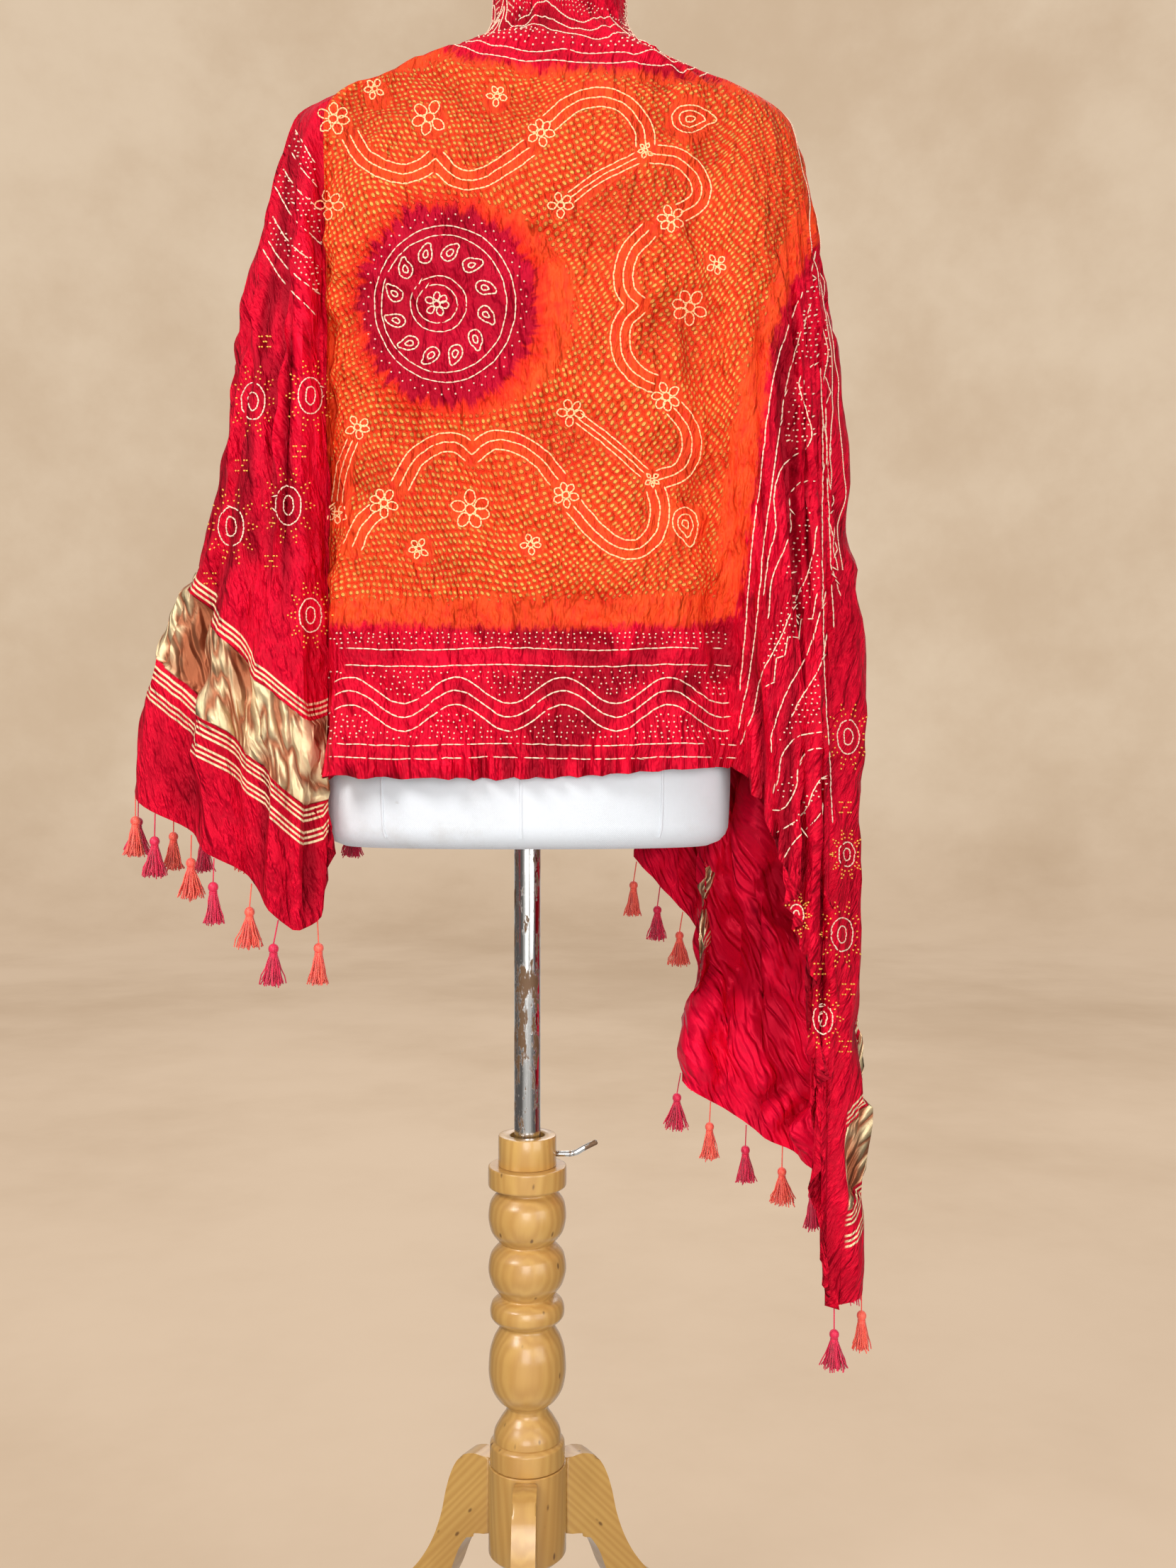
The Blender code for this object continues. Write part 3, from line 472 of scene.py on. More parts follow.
SILK = 0.0009
CLEAR = 0.0020
NECK_X = 0.030
COWL = [(1.600, 0.060, 0.057), (1.535, 0.062, 0.059), (1.504, 0.080, 0.070)]
BLADE_Z, WAIST_Z, HIP_Z = 1.300, 1.050, 0.880
COWL_ROWS = 30
FALL_ROWS = 122
COLUMNS = 312
FOLD_PITCH = 0.074
FOLD_SHARE = 1.0 + 13 / 15
FOLD_TWIST = 0.8
FOLD_GROWTH = 0.7
LINES = [                         # turn, shoulder, blade, waist, hip, end, fold depth
    (-158, (-0.050, 0.076, 1.474), (-0.072, 0.136), (-0.088, 0.142), (-0.100, 0.150), (-0.112, 0.150, 0.862), 0.009),
    (-130, (-0.120, 0.062, 1.464), (-0.150, 0.118), (-0.185, 0.122), (-0.212, 0.122), (-0.222, 0.120, 0.812), 0.012),
    (-110, (-0.176, 0.034, 1.452), (-0.215, 0.060), (-0.262, 0.065), (-0.304, 0.060), (-0.326, 0.048, 0.812), 0.010),
    (-92, (-0.202, -0.008, 1.442), (-0.241, -0.010), (-0.291, -0.014), (-0.348, -0.020), (-0.357, -0.020, 0.838), 0.004),
    (-78, (-0.203, -0.042, 1.428), (-0.228, -0.060), (-0.267, -0.070), (-0.304, -0.070), (-0.304, -0.066, 0.806), 0.009),
    (-67, (-0.193, -0.066, 1.418), (-0.206, -0.090), (-0.228, -0.100), (-0.245, -0.098), (-0.240, -0.090, 0.765), 0.010),
    (-58, (-0.181, -0.080, 1.412), (-0.183, -0.103), (-0.184, -0.109), (-0.183, -0.103), (-0.192, -0.096, 0.716), 0.006),
    (-53, (-0.173, -0.083, 1.410), (-0.173, -0.086), (-0.173, -0.079), (-0.174, -0.074), (-0.174, -0.074, 0.728), 0.000),
    (-49, (-0.168, -0.086, 1.410), (-0.167, -0.081), (-0.165, -0.074), (-0.168, -0.070), (-0.168, -0.072, 0.848), 0.000),
    (-43, (-0.156, -0.092, 1.415), (-0.153, -0.104), (-0.151, -0.106), (-0.157, -0.109), (-0.158, -0.111, 0.847), 0.002),
    (-30, (-0.104, -0.090, 1.446), (-0.104, -0.121), (-0.100, -0.121), (-0.105, -0.125), (-0.105, -0.128, 0.846), 0.003),
    (-14, (-0.045, -0.092, 1.450), (-0.045, -0.126), (-0.045, -0.122), (-0.045, -0.129), (-0.045, -0.132, 0.845), 0.003),
    (0, (0.020, -0.092, 1.452), (0.020, -0.126), (0.018, -0.121), (0.015, -0.129), (0.015, -0.132, 0.846), 0.003),
    (15, (0.080, -0.090, 1.450), (0.080, -0.123), (0.078, -0.120), (0.075, -0.127), (0.075, -0.130, 0.849), 0.003),
    (32, (0.132, -0.086, 1.444), (0.126, -0.117), (0.126, -0.113), (0.130, -0.114), (0.130, -0.117, 0.853), 0.003),
    (48, (0.170, -0.080, 1.430), (0.154, -0.104), (0.167, -0.086), (0.181, -0.066), (0.181, -0.062, 0.856), 0.000),
    (58, (0.200, -0.070, 1.428), (0.196, -0.104), (0.206, -0.101), (0.213, -0.090), (0.213, -0.080, 0.796), 0.004),
    (68, (0.220, -0.056, 1.428), (0.233, -0.082), (0.241, -0.084), (0.245, -0.076), (0.243, -0.064, 0.690), 0.006),
    (80, (0.237, -0.033, 1.428), (0.256, -0.046), (0.268, -0.050), (0.273, -0.047), (0.272, -0.038, 0.374), 0.003),
    (94, (0.242, 0.004, 1.434), (0.268, -0.004), (0.292, -0.004), (0.303, -0.004), (0.304, -0.006, 0.382), 0.003),
    (108, (0.226, 0.036, 1.442), (0.250, 0.046), (0.276, 0.050), (0.291, 0.046), (0.290, 0.030, 0.458), 0.007),
    (125, (0.180, 0.058, 1.456), (0.207, 0.096), (0.226, 0.100), (0.236, 0.092), (0.228, 0.060, 0.502), 0.010),
    (136, (0.146, 0.066, 1.463), (0.170, 0.119), (0.184, 0.124), (0.172, 0.116), (0.152, 0.082, 0.560), 0.006),
    (142, (0.128, 0.069, 1.467), (0.158, 0.131), (0.180, 0.140), (0.194, 0.142), (0.190, 0.132, 0.652), 0.000),
    (150, (0.106, 0.073, 1.471), (0.122, 0.140), (0.136, 0.149), (0.146, 0.155), (0.148, 0.154, 0.716), 0.004),
    (158, (0.088, 0.076, 1.474), (0.090, 0.142), (0.098, 0.148), (0.100, 0.152), (0.102, 0.152, 0.766), 0.006),
]
LEFT_END = 7.0                    # columns are counted by hang line; the left end runs up to this one,
RIGHT_END = 18.0                  # and the right end from this one
BACK = (7.8, 15.4)
BAND_HALF = 0.036
BAND_LINES = (0.0405, 0.0452, 0.0499, -0.0405, -0.0452, -0.0499, -0.0600, -0.0647, -0.0694)
EYE = Vector((0.0556, -1.25, 0.841))
BACK_PLANE = -0.13
UNIT = 0.000644                   # pattern places are counted in these steps across the back, from its corner
CORNER = (-0.42752, 1.48516)


def hang_line(line, share):
    """Points of one hang line; share runs 0..1 down the cowl and 1..2 down the fall."""
    turn, shoulder, blade, waist, hip, end, _ = line
    angle = math.radians(turn)
    points = [(NECK_X + width * math.sin(angle), -depth * math.cos(angle), z) for z, width, depth in COWL]
    points += [shoulder, (*blade, BLADE_Z), (*waist, WAIST_Z), (*hip, HIP_Z), end]
    points = np.array(points)
    run = run_along(points)
    wanted = np.where(share <= 1, share * run[3], run[3] + (share - 1) * (run[-1] - run[3]))
    return smooth_through(run, points, wanted)


def random_relief(u, v, seed):
    """Smooth random heights from -1 to 1 with bumps one unit apart."""
    table = np.random.default_rng(seed).uniform(-1, 1, (97, 89))
    column = np.floor(u).astype(int)
    row = np.floor(v).astype(int)
    fu = u - column
    fv = v - row
    fu = fu * fu * (3 - 2 * fu)
    fv = fv * fv * (3 - 2 * fv)

    def corner(i, j):
        return table[(column + i) % 97, (row + j) % 89]
    near = corner(0, 0) * (1 - fu) + corner(1, 0) * fu
    far = corner(0, 1) * (1 - fu) + corner(1, 1) * fu
    return near * (1 - fv) + far * fv


def creased(u, v, seed):
    """Random relief with soft-edged ridges, from about -0.4 to 0.6."""
    return 0.6 - 2.0 * (np.sqrt(random_relief(u, v, seed) ** 2 + 0.010) - 0.1)


def outward(rows):
    normal = np.cross(np.gradient(rows, axis=0), np.gradient(rows, axis=1))
    return normal / np.linalg.norm(normal, axis=2)[:, :, None]


def eased(value, start, stop):
    t = np.clip((value - start) / (stop - start), 0, 1)
    return t * t * (3 - 2 * t)


def within(value, start, stop, soft):
    return eased(value, start - soft, start + soft) * (1 - eased(value, stop - soft, stop + soft))


share = np.concatenate((np.linspace(0, 1, COWL_ROWS, endpoint=False), np.linspace(1, 2, FALL_ROWS)))
every = np.arange(len(LINES))
dense = np.linspace(0, len(LINES) - 1, 1000)
fold_line = np.array([hang_line(line, np.array([FOLD_SHARE]))[0] for line in LINES])
dense_run = run_along(smooth_through(every, fold_line, dense))
hang = np.interp(np.linspace(0, dense_run[-1], COLUMNS), dense_run, dense)
lines = np.array([hang_line(line, share) for line in LINES])
rows = np.array([smooth_through(every, lines[:, r], hang) for r in range(len(share))])
around = np.interp(hang, dense, dense_run)
depth = np.interp(hang, every, [line[-1] for line in LINES])
for r, amount in enumerate(share):
    across = np.gradient(rows[r], axis=0)
    normal = np.stack((across[:, 1], -across[:, 0]), axis=1)
    normal /= np.linalg.norm(normal, axis=1)[:, None]
    wave = np.sin(2 * math.pi * around / FOLD_PITCH + FOLD_TWIST * amount)
    rows[r, :, :2] += normal * (wave * depth * np.clip(amount - 1, 0, 1) ** FOLD_GROWTH)[:, None]

down = np.zeros(rows.shape[:2])
down[1:] = np.cumsum(np.linalg.norm(np.diff(rows, axis=0), axis=2), axis=0)
up = down[-1][None, :] - down
sideways = np.zeros(rows.shape[:2])
sideways[:, 1:] = np.cumsum(np.linalg.norm(np.diff(rows, axis=1), axis=2), axis=1)
centre_column = int(np.argmin(np.abs(hang - 12)))
sideways -= sideways[:, centre_column][:, None]
turn = np.broadcast_to(hang, down.shape)
nearer = (EYE.y - BACK_PLANE) / (EYE.y - rows[..., 1])
seen_x = (EYE.x + (rows[..., 0] - EYE.x) * nearer - CORNER[0]) / UNIT
seen_y = (CORNER[1] - EYE.z - (rows[..., 2] - EYE.z) * nearer) / UNIT

band_height = np.interp(hang, (0, 3, 7, 18, 20, 25), (0.150, 0.166, 0.136, 0.120, 0.158, 0.150))
gold = up - band_height + 0.005 * random_relief(np.broadcast_to(around, up.shape) / 0.05, down / 0.5, 11)
end = np.maximum(1 - eased(turn, LEFT_END + 0.1, LEFT_END + 0.4), eased(turn, RIGHT_END + 0.1, RIGHT_END + 0.5))
tissue = end * within(gold, -BAND_HALF, BAND_HALF, 0.003)
back = within(turn, *BACK, 0.4)
fall = eased(down, 0.20, 0.45) * (1 - back)
lining = eased(turn, 19.4, 20.4) * (1 - eased(up, 0.42, 0.55))
spacing = np.linalg.norm(np.gradient(rows, axis=1), axis=2)
room = np.clip(1.3 * spacing / np.median(spacing), 0.12, 1.0)
u = np.broadcast_to(around, down.shape)
drift = 0.6 * random_relief(u / 0.09, down / 0.09, 1)
relief = 0.0014 * random_relief(u / 0.0125, down / 0.018, 2)
relief += 0.0085 * fall * creased(u / 0.030 + drift, down / 0.300, 3)
relief += 0.0040 * fall * creased(u / 0.019 - drift, down / 0.110 + drift, 4)
relief += 0.0016 * fall * random_relief(u / 0.040, down / 0.022 + drift, 12)
relief += back * (0.0024 * random_relief(u / 0.020, down / 0.014 + drift, 5)
                  + 0.0060 * random_relief(u / 0.13, down / 0.045 + drift, 6)
                  + 0.0042 * creased(u / 0.045 + drift, down / 0.030 + drift, 13))
relief += tissue * (1 - lining) * (0.0105 * creased(u / 0.024 + drift, down / 0.110, 7)
                                   + 0.0045 * creased(u / 0.012, down / 0.030, 15))
relief += lining * (0.0160 * creased(u / 0.052 + 2 * drift, down / 0.085 + u / 0.07, 8)
                    + 0.0090 * creased(u / 0.027 - drift, down / 0.042 + u / 0.06, 9))
hem = 1 - end
ruffle = np.sin(2 * math.pi * u / 0.025 + 4.0 * random_relief(u / 0.05, down / 0.2, 10))
ruffle *= 0.65 + 0.55 * random_relief(u / 0.06, down / 0.5, 14)
relief += hem * 0.0075 * np.exp(-up / 0.022) * ruffle
relief *= room * np.where(end > 0.5, np.clip(up / 0.030, 0.20, 1.0), 1.0) * np.clip(down / 0.02, 0.35, 1.0)
rows += outward(rows) * relief[..., None]
rows[..., 2] += 0.0018 * hem * np.exp(-up / 0.030) * np.roll(ruffle, 2, axis=1)
rows[..., :2] += STAND.xy
for _ in range(2):
    for point in rows.reshape(-1, 3):
        if point[2] < FORM_RINGS[2][0]:
            continue
        near, out, _, distance = form_tree.find_nearest(Vector(point))
        height = distance if (Vector(point) - near).dot(out) > 0 else -distance
        if height < CLEAR:
            point += np.array(out) * (CLEAR - height)
normals = outward(rows)


def inside_distance(polygon, x, y):
    """Signed distance from the polygon's outline, positive inside it."""
    inside = np.zeros(x.shape, bool)
    nearest = np.full(x.shape, 1e9)
    for (x0, y0), (x1, y1) in zip(polygon, polygon[1:] + polygon[:1]):
        nearest = np.minimum(nearest, stroke_distance([(x0, y0), (x1, y1)], x, y))
        if y0 != y1:
            inside ^= ((y0 > y) != (y1 > y)) & (x < (x1 - x0) * (y - y0) / (y1 - y0) + x0)
    return np.where(inside, nearest, -nearest)


def stroke_distance(stroke, x, y):
    nearest = np.full(x.shape, 1e9)
    for (x0, y0), (x1, y1) in zip(stroke[:-1], stroke[1:]):
        length = max((x1 - x0) ** 2 + (y1 - y0) ** 2, 1e-9)
        t = np.clip(((x - x0) * (x1 - x0) + (y - y0) * (y1 - y0)) / length, 0, 1)
        nearest = np.minimum(nearest, np.hypot(x - x0 - t * (x1 - x0), y - y0 - t * (y1 - y0)))
    return nearest


def curved(stroke, step=6.0):
    """A smooth stroke through the given places, cut into even steps."""
    points = np.array(stroke, float)
    if len(points) > 2:
        ends = np.vstack((2 * points[0] - points[1], points, 2 * points[-1] - points[-2]))
        parts = []
        for a, b, c, d in zip(ends[:-3], ends[1:-2], ends[2:-1], ends[3:]):
            t = np.linspace(0, 1, 12, endpoint=False)[:, None]
            parts.append(0.5 * (2 * b + (c - a) * t + (2 * a - 5 * b + 4 * c - d) * t**2
                                + (3 * b - 3 * c + d - a) * t**3))
        points = np.vstack(parts + [points[-1:]])
    run = run_along(points)
    wanted = np.linspace(0, run[-1], max(2, int(round(run[-1] / step)) + 1))
    return np.stack([np.interp(wanted, run, points[:, k]) for k in range(points.shape[1])], axis=1)


def beside(points, offset):
    """The same stroke moved sideways."""
    along = np.gradient(points, axis=0)
    side = np.stack((along[:, 1], -along[:, 0]), axis=1)
    return points + side / np.linalg.norm(side, axis=1)[:, None] * offset


ORANGE = [(372, 150), (400, 120), (440, 95), (500, 72), (560, 62), (600, 74), (690, 91), (780, 92), (850, 88),
          (900, 96), (945, 103), (1000, 130), (1045, 170), (1062, 250), (1030, 325), (1003, 390), (984, 450),
          (972, 540), (962, 640), (952, 720), (940, 785), (900, 798), (700, 802), (430, 798), (380, 790),
          (380, 600), (392, 440), (412, 405), (412, 330), (400, 250), (385, 180)]
DOTTED = [(380, 130), (440, 104), (560, 74), (700, 102), (850, 100), (940, 114), (1000, 150), (1030, 230),
          (1003, 310), (984, 365), (962, 425), (946, 480), (934, 560), (922, 640), (914, 700), (912, 757),
          (700, 762), (430, 766), (424, 700), (427, 560), (424, 440), (418, 400), (412, 300), (396, 200)]
ROUNDEL = (572, 391, 113, 127)
HALO = (594, 393, 140, 136)
GARLAND = [                       # triple lines of the swags, each lobe a stroke
    [(446, 172), (468, 204), (510, 222), (540, 214), (556, 202)],
    [(556, 202), (580, 226), (610, 229), (645, 210), (676, 188)],
    [(700, 158), (730, 133), (765, 124), (798, 134), (820, 162), (824, 186)],
    [(830, 196), (866, 202), (892, 228), (892, 256), (868, 272)],
    [(828, 294), (804, 320), (795, 350), (800, 375), (815, 390)],
    [(815, 390), (797, 408), (791, 432), (798, 462), (818, 482), (836, 490)],
    [(860, 520), (878, 545), (882, 575), (868, 602), (840, 612)],
    [(836, 624), (842, 650), (836, 680), (815, 700), (788, 698), (760, 678), (732, 646)],
    [(712, 612), (690, 585), (660, 566), (628, 562), (602, 580)],
    [(602, 580), (585, 566), (560, 566), (530, 585), (510, 620)],
    [(480, 652), (462, 670), (450, 698)],
]
GARLAND_SPREAD = 14
STEMS = [
    [(812, 202), (765, 226), (728, 252)],
    [(738, 534), (780, 566), (822, 604)],
    [(450, 562), (436, 600), (430, 640)],
]
STEM_SPREAD = 8
FLOWERS = [                       # place, size, petals
    (690, 170, 17, 6), (824, 192, 10, 5), (856, 279, 17, 6), (850, 506, 18, 6), (722, 632, 16, 6),
    (490, 642, 18, 6), (425, 152, 20, 6), (715, 262, 16, 5), (728, 527, 17, 5), (600, 650, 24, 6),
    (880, 392, 22, 6), (548, 150, 22, 5), (456, 545, 15, 5), (420, 262, 18, 5), (832, 612, 10, 5),
]
CLUSTERS = [(478, 114), (634, 123), (914, 337), (535, 700), (677, 695), (430, 655)]
PAISLEYS = [(880, 152, 30, 25), (874, 668, 27, 100)]

known = (turn > 7.55) & (turn < 19.4)
orange = np.where(known, inside_distance(ORANGE, seen_x, seen_y), -60.0)
dotted = np.where(known, inside_distance(DOTTED, seen_x, seen_y), -60.0)
last = int(np.searchsorted(hang, 19.4)) - 1
past = np.clip((sideways - sideways[:, last][:, None]) / UNIT, 0, None)
orange = np.where(turn >= 19.4, orange[:, last][:, None] - past, orange)
dotted = np.where(turn >= 19.4, dotted[:, last][:, None] - past, dotted)
roundel = 1 - np.hypot((seen_x - ROUNDEL[0]) / ROUNDEL[2], (seen_y - ROUNDEL[1]) / ROUNDEL[3])
roundel = np.where(known, roundel * ROUNDEL[2], -400.0)
halo = np.hypot((seen_x - HALO[0]) / HALO[2], (seen_y - HALO[1]) / HALO[3])
dotted = np.minimum(dotted, np.where(known, (halo - 1) * HALO[2], 400.0))
ties = np.full(down.shape, 60.0)
for stroke in GARLAND:
    ties = np.minimum(ties, stroke_distance(curved(stroke, 12.0), seen_x, seen_y) - GARLAND_SPREAD + 3)
for stroke in STEMS:
    ties = np.minimum(ties, stroke_distance(curved(stroke, 12.0), seen_x, seen_y) - STEM_SPREAD)
for x, y, size, _ in FLOWERS:
    ties = np.minimum(ties, np.hypot(seen_x - x, seen_y - y) - size + 3)
for x, y in CLUSTERS:
    ties = np.minimum(ties, np.hypot(seen_x - x, seen_y - y) - 14)
for x, y, size, _ in PAISLEYS:
    ties = np.minimum(ties, np.hypot(seen_x - x, seen_y - y) - size + 3)
ties = np.where(known, ties, 60.0)

R, C = down.shape
centre = np.unravel_index(np.argmin(np.where(known, np.hypot(seen_x - ROUNDEL[0], seen_y - ROUNDEL[1]), 1e9)), (R, C))
DISC_CENTRE = (float(sideways[centre]), float(down[centre]))
outer = rows + normals * SILK / 2
inner = rows - normals * SILK / 2
grid = np.arange(R * C).reshape(R, C)
cells = np.stack((grid[:-1, :-1], grid[1:, :-1], grid[1:, 1:], grid[:-1, 1:]), axis=-1).reshape(-1, 4)
face = np.vstack((cells[:, [0, 1, 2]], cells[:, [0, 2, 3]]))


def rim(path, flip):
    strip = np.stack((path[:-1], path[1:], path[1:] + R * C, path[:-1] + R * C), axis=-1)
    return strip[:, ::-1] if flip else strip


edges = np.vstack((rim(grid[0], False), rim(grid[-1], True), rim(grid[:, 0], True), rim(grid[:, -1], False)))
points = np.vstack((outer.reshape(-1, 3), inner.reshape(-1, 3)))
mesh = bpy.data.meshes.new("bandhani_cloth_silk")
mesh.from_pydata(points.tolist(), [], face.tolist() + (face[:, ::-1] + R * C).tolist() + edges.tolist())
chart = mesh.uv_layers.new(name="chart")
corners = np.empty(len(mesh.loops), int)
mesh.loops.foreach_get("vertex_index", corners)
flat_place = np.stack((sideways.ravel(), down.ravel()), axis=1)
chart.data.foreach_set("uv", flat_place[corners % (R * C)].astype(np.float32).ravel())
fields = {"orange": orange * UNIT, "dotted": dotted * UNIT, "roundel": roundel * UNIT, "ties": ties * UNIT,
          "gold": gold, "ends": end, "relief": relief, "lining": lining, "hem": np.where(hem > 0.5, up, 1.0)}
for name, values in fields.items():
    layer = mesh.attributes.new(name, "FLOAT", "POINT")
    both = np.concatenate((values.ravel(), -values.ravel() if name == "relief" else values.ravel()))
    if name == "ends":
        both[R * C:] = np.where(turn < 12, values, 0.0).ravel()
    layer.data.foreach_set("value", both.astype(np.float32))

CRIMSON = (0.86, 0.003, 0.032, 1)
CRIMSON_DEEP = (0.62, 0.001, 0.020, 1)
# brighter crimson for the lining: the silk's own red plus painted light for the shade it hangs in
LINING_LIT_CRIMSON = (1.0, 0.004, 0.045, 1)
FOLD_SHADE = (0.20, 0.001, 0.008, 1)
MADDER = (0.56, 0.002, 0.026, 1)
MADDER_DEEP = (0.40, 0.001, 0.016, 1)
SCARLET = (0.92, 0.022, 0.010, 1)
FLAME = (1.0, 0.082, 0.016, 1)
FLAME_DEEP = (0.98, 0.040, 0.016, 1)
TIE_SHADOW = (0.92, 0.030, 0.006, 1)
YELLOW = (1.0, 0.44, 0.095, 1)
GOLD = (1.0, 0.77, 0.45, 1)
# brown-red for the gold's folds: painted shade
GOLD_FOLD_SHADE = (0.42, 0.11, 0.045, 1)

silk, tree, shader = finish("dyed_silk", 0.42, Specular_IOR_Level=0.10)
flat = node(tree, "ShaderNodeUVMap", uv_map="chart").outputs["UV"]
body = node(tree, "ShaderNodeTexCoord").outputs["Object"]
broad = cloudy(tree, body, 14.0, 4.0)
fuzzy = cloudy(tree, stretched(tree, flat, (190.0, 70.0, 1.0)), 1.0, 3.0, 0.6)
fray = maths(tree, "MULTIPLY", maths(tree, "SUBTRACT", fuzzy, 0.5), 0.028)
red = mixed(tree, ramp(tree, broad, 0.35, 0.75), CRIMSON, CRIMSON_DEEP)
# The lining is the same crimson silk with a brighter base: painted light that makes up for the shade it hangs in.
red = mixed(tree, attribute(tree, "lining"), red, LINING_LIT_CRIMSON)
fire = mixed(tree, ramp(tree, fuzzy, 0.42, 0.72), FLAME, FLAME_DEEP)
edge = ramp(tree, maths(tree, "ADD", attribute(tree, "orange"), fray), -0.0030, 0.0045)
warp_size = node(tree, "ShaderNodeTexNoise", {"Vector": flat, "Scale": 7.0, "Detail": 1.0}).outputs["Color"]
bend = node(tree, "ShaderNodeVectorMath", {0: warp_size, 1: (0.5, 0.5, 0.5)}, operation="SUBTRACT").outputs[0]
bend = node(tree, "ShaderNodeVectorMath", {0: bend, 3: 0.045}, operation="SCALE").outputs[0]
laid = node(tree, "ShaderNodeVectorMath", {0: flat, 1: bend}, operation="ADD").outputs[0]
laid = stretched(tree, stretched(tree, laid, (1.0, 1.0, 0.0), (0, 0, math.radians(28))), (186.0, 198.0, 0.0))
lattice = node(tree, "ShaderNodeTexVoronoi", {"Vector": laid, "Scale": 1.0, "Randomness": 0.30},
               voronoi_dimensions="2D").outputs["Distance"]
field = maths(tree, "MULTIPLY", ramp(tree, maths(tree, "ADD", attribute(tree, "dotted"), fray), -0.002, 0.003),
              ramp(tree, attribute(tree, "ties"), 0.0012, 0.0045))
field = maths(tree, "MULTIPLY", field, edge)
bright = ramp(tree, cloudy(tree, flat, 11.0, 2.0), 0.34, 0.62, 0.62, 1.0)
dot = maths(tree, "MULTIPLY", ramp(tree, lattice, 0.22, 0.38, 1.0, 0.0), field)
gap = maths(tree, "MULTIPLY", ramp(tree, lattice, 0.46, 0.66), field)
fire = mixed(tree, maths(tree, "MULTIPLY", gap, 0.80), fire, TIE_SHADOW)
fire = mixed(tree, maths(tree, "MULTIPLY", dot, bright), fire, YELLOW)
colour = mixed(tree, edge, red, fire)
outwards = node(tree, "ShaderNodeVectorMath", {0: flat, 1: (*DISC_CENTRE, 0.0)}, operation="SUBTRACT").outputs[0]
outwards = node(tree, "ShaderNodeVectorMath", {0: outwards}, operation="NORMALIZE").outputs[0]
spokes = maths(tree, "SUBTRACT", cloudy(tree, outwards, 13.0, 3.0, 0.6), 0.5)
bled = maths(tree, "MULTIPLY_ADD", spokes, 0.034, attribute(tree, "roundel"))
bled = maths(tree, "MULTIPLY_ADD", fray, 0.4, bled)
colour = mixed(tree, ramp(tree, bled, -0.017, -0.003, 0.0, 0.8), colour, SCARLET)
colour = mixed(tree, ramp(tree, bled, -0.004, 0.003), colour,
               mixed(tree, ramp(tree, broad, 0.3, 0.8), MADDER, MADDER_DEEP))
crumple = cloudy(tree, stretched(tree, flat, (46.0, 19.0, 1.0)), 1.0, 4.0, 0.55)
crumple = maths(tree, "ABSOLUTE", maths(tree, "MULTIPLY_ADD", crumple, 2.0, -1.0))
crease = cloudy(tree, stretched(tree, flat, (125.0, 34.0, 1.0)), 1.0, 3.0, 0.55)
valley = ramp(tree, attribute(tree, "relief"), -0.0050, 0.0020, 0.70, 0.0)
pinch = maths(tree, "MAXIMUM", ramp(tree, crease, 0.27, 0.44, 0.45, 0.0), ramp(tree, crumple, 0.0, 0.10, 0.35, 0.0))
pale = maths(tree, "MAXIMUM", maths(tree, "MULTIPLY", edge, 0.65), maths(tree, "MULTIPLY", attribute(tree, "lining"), 0.45))
shaded = maths(tree, "MULTIPLY", maths(tree, "MAXIMUM", valley, pinch), maths(tree, "SUBTRACT", 1.0, pale))
colour = mixed(tree, shaded, colour, FOLD_SHADE)
across = maths(tree, "ABSOLUTE", attribute(tree, "gold"))
band = ramp(tree, across, BAND_HALF - 0.0006, BAND_HALF + 0.0006, 1.0, 0.0)
woven = ramp(tree, attribute(tree, "ends"), 0.4, 0.6)
band = maths(tree, "MULTIPLY", band, woven)
stripe = 0.0
for offset in BAND_LINES:
    beyond = maths(tree, "ABSOLUTE", maths(tree, "SUBTRACT", attribute(tree, "gold"), offset))
    stripe = maths(tree, "MAXIMUM", stripe, ramp(tree, beyond, 0.0006, 0.0014, 1.0, 0.0))
stripe = maths(tree, "MULTIPLY", stripe, woven)
# Painted shade: the gold turns brown-red in the hollows of its folds and pleats; the darker weft ribs mixed in with it
# are the weave's own.
gold_shade_mask = ramp(tree, attribute(tree, "relief"), -0.0050, 0.0030, 0.95, 0.0)
ribs = cloudy(tree, stretched(tree, flat, (900.0, 60.0, 1.0)), 1.0, 2.0)
pleated = cloudy(tree, stretched(tree, flat, (62.0, 20.0, 1.0)), 1.0, 1.2, 0.5)
pleated = maths(tree, "ABSOLUTE", maths(tree, "MULTIPLY_ADD", pleated, 2.0, -1.0))
gold_shade_mask = maths(tree, "MAXIMUM", gold_shade_mask, ramp(tree, pleated, 0.02, 0.16, 0.9, 0.0))
tinsel = mixed(tree, maths(tree, "MAXIMUM", gold_shade_mask, ramp(tree, ribs, 0.55, 0.85, 0.0, 0.25)), GOLD, GOLD_FOLD_SHADE)
colour = mixed(tree, band, colour, tinsel)
colour = mixed(tree, stripe, colour, GOLD)
tree.links.new(colour, shader["Base Color"])
satin = ramp(tree, attribute(tree, "lining"), 0.0, 1.0, 0.20, 0.26)
tree.links.new(maths(tree, "MAXIMUM", satin, maths(tree, "MULTIPLY", band, 0.60)), shader["Metallic"])
sheeny = ramp(tree, attribute(tree, "lining"), 0.0, 1.0, 0.50, 0.30)
tree.links.new(maths(tree, "MULTIPLY_ADD", broad, 0.12, maths(tree, "SUBTRACT", sheeny, 0.06)), shader["Roughness"])
thread = use(tree, weave, Place=flat, Threads=5200.0)["Height"]
dots_up = maths(tree, "SUBTRACT", maths(tree, "MULTIPLY", dot, 0.55), maths(tree, "MULTIPLY", gap, 0.25))
height = maths(tree, "MULTIPLY_ADD", crease, 1.3, maths(tree, "MULTIPLY", fuzzy, 0.6))
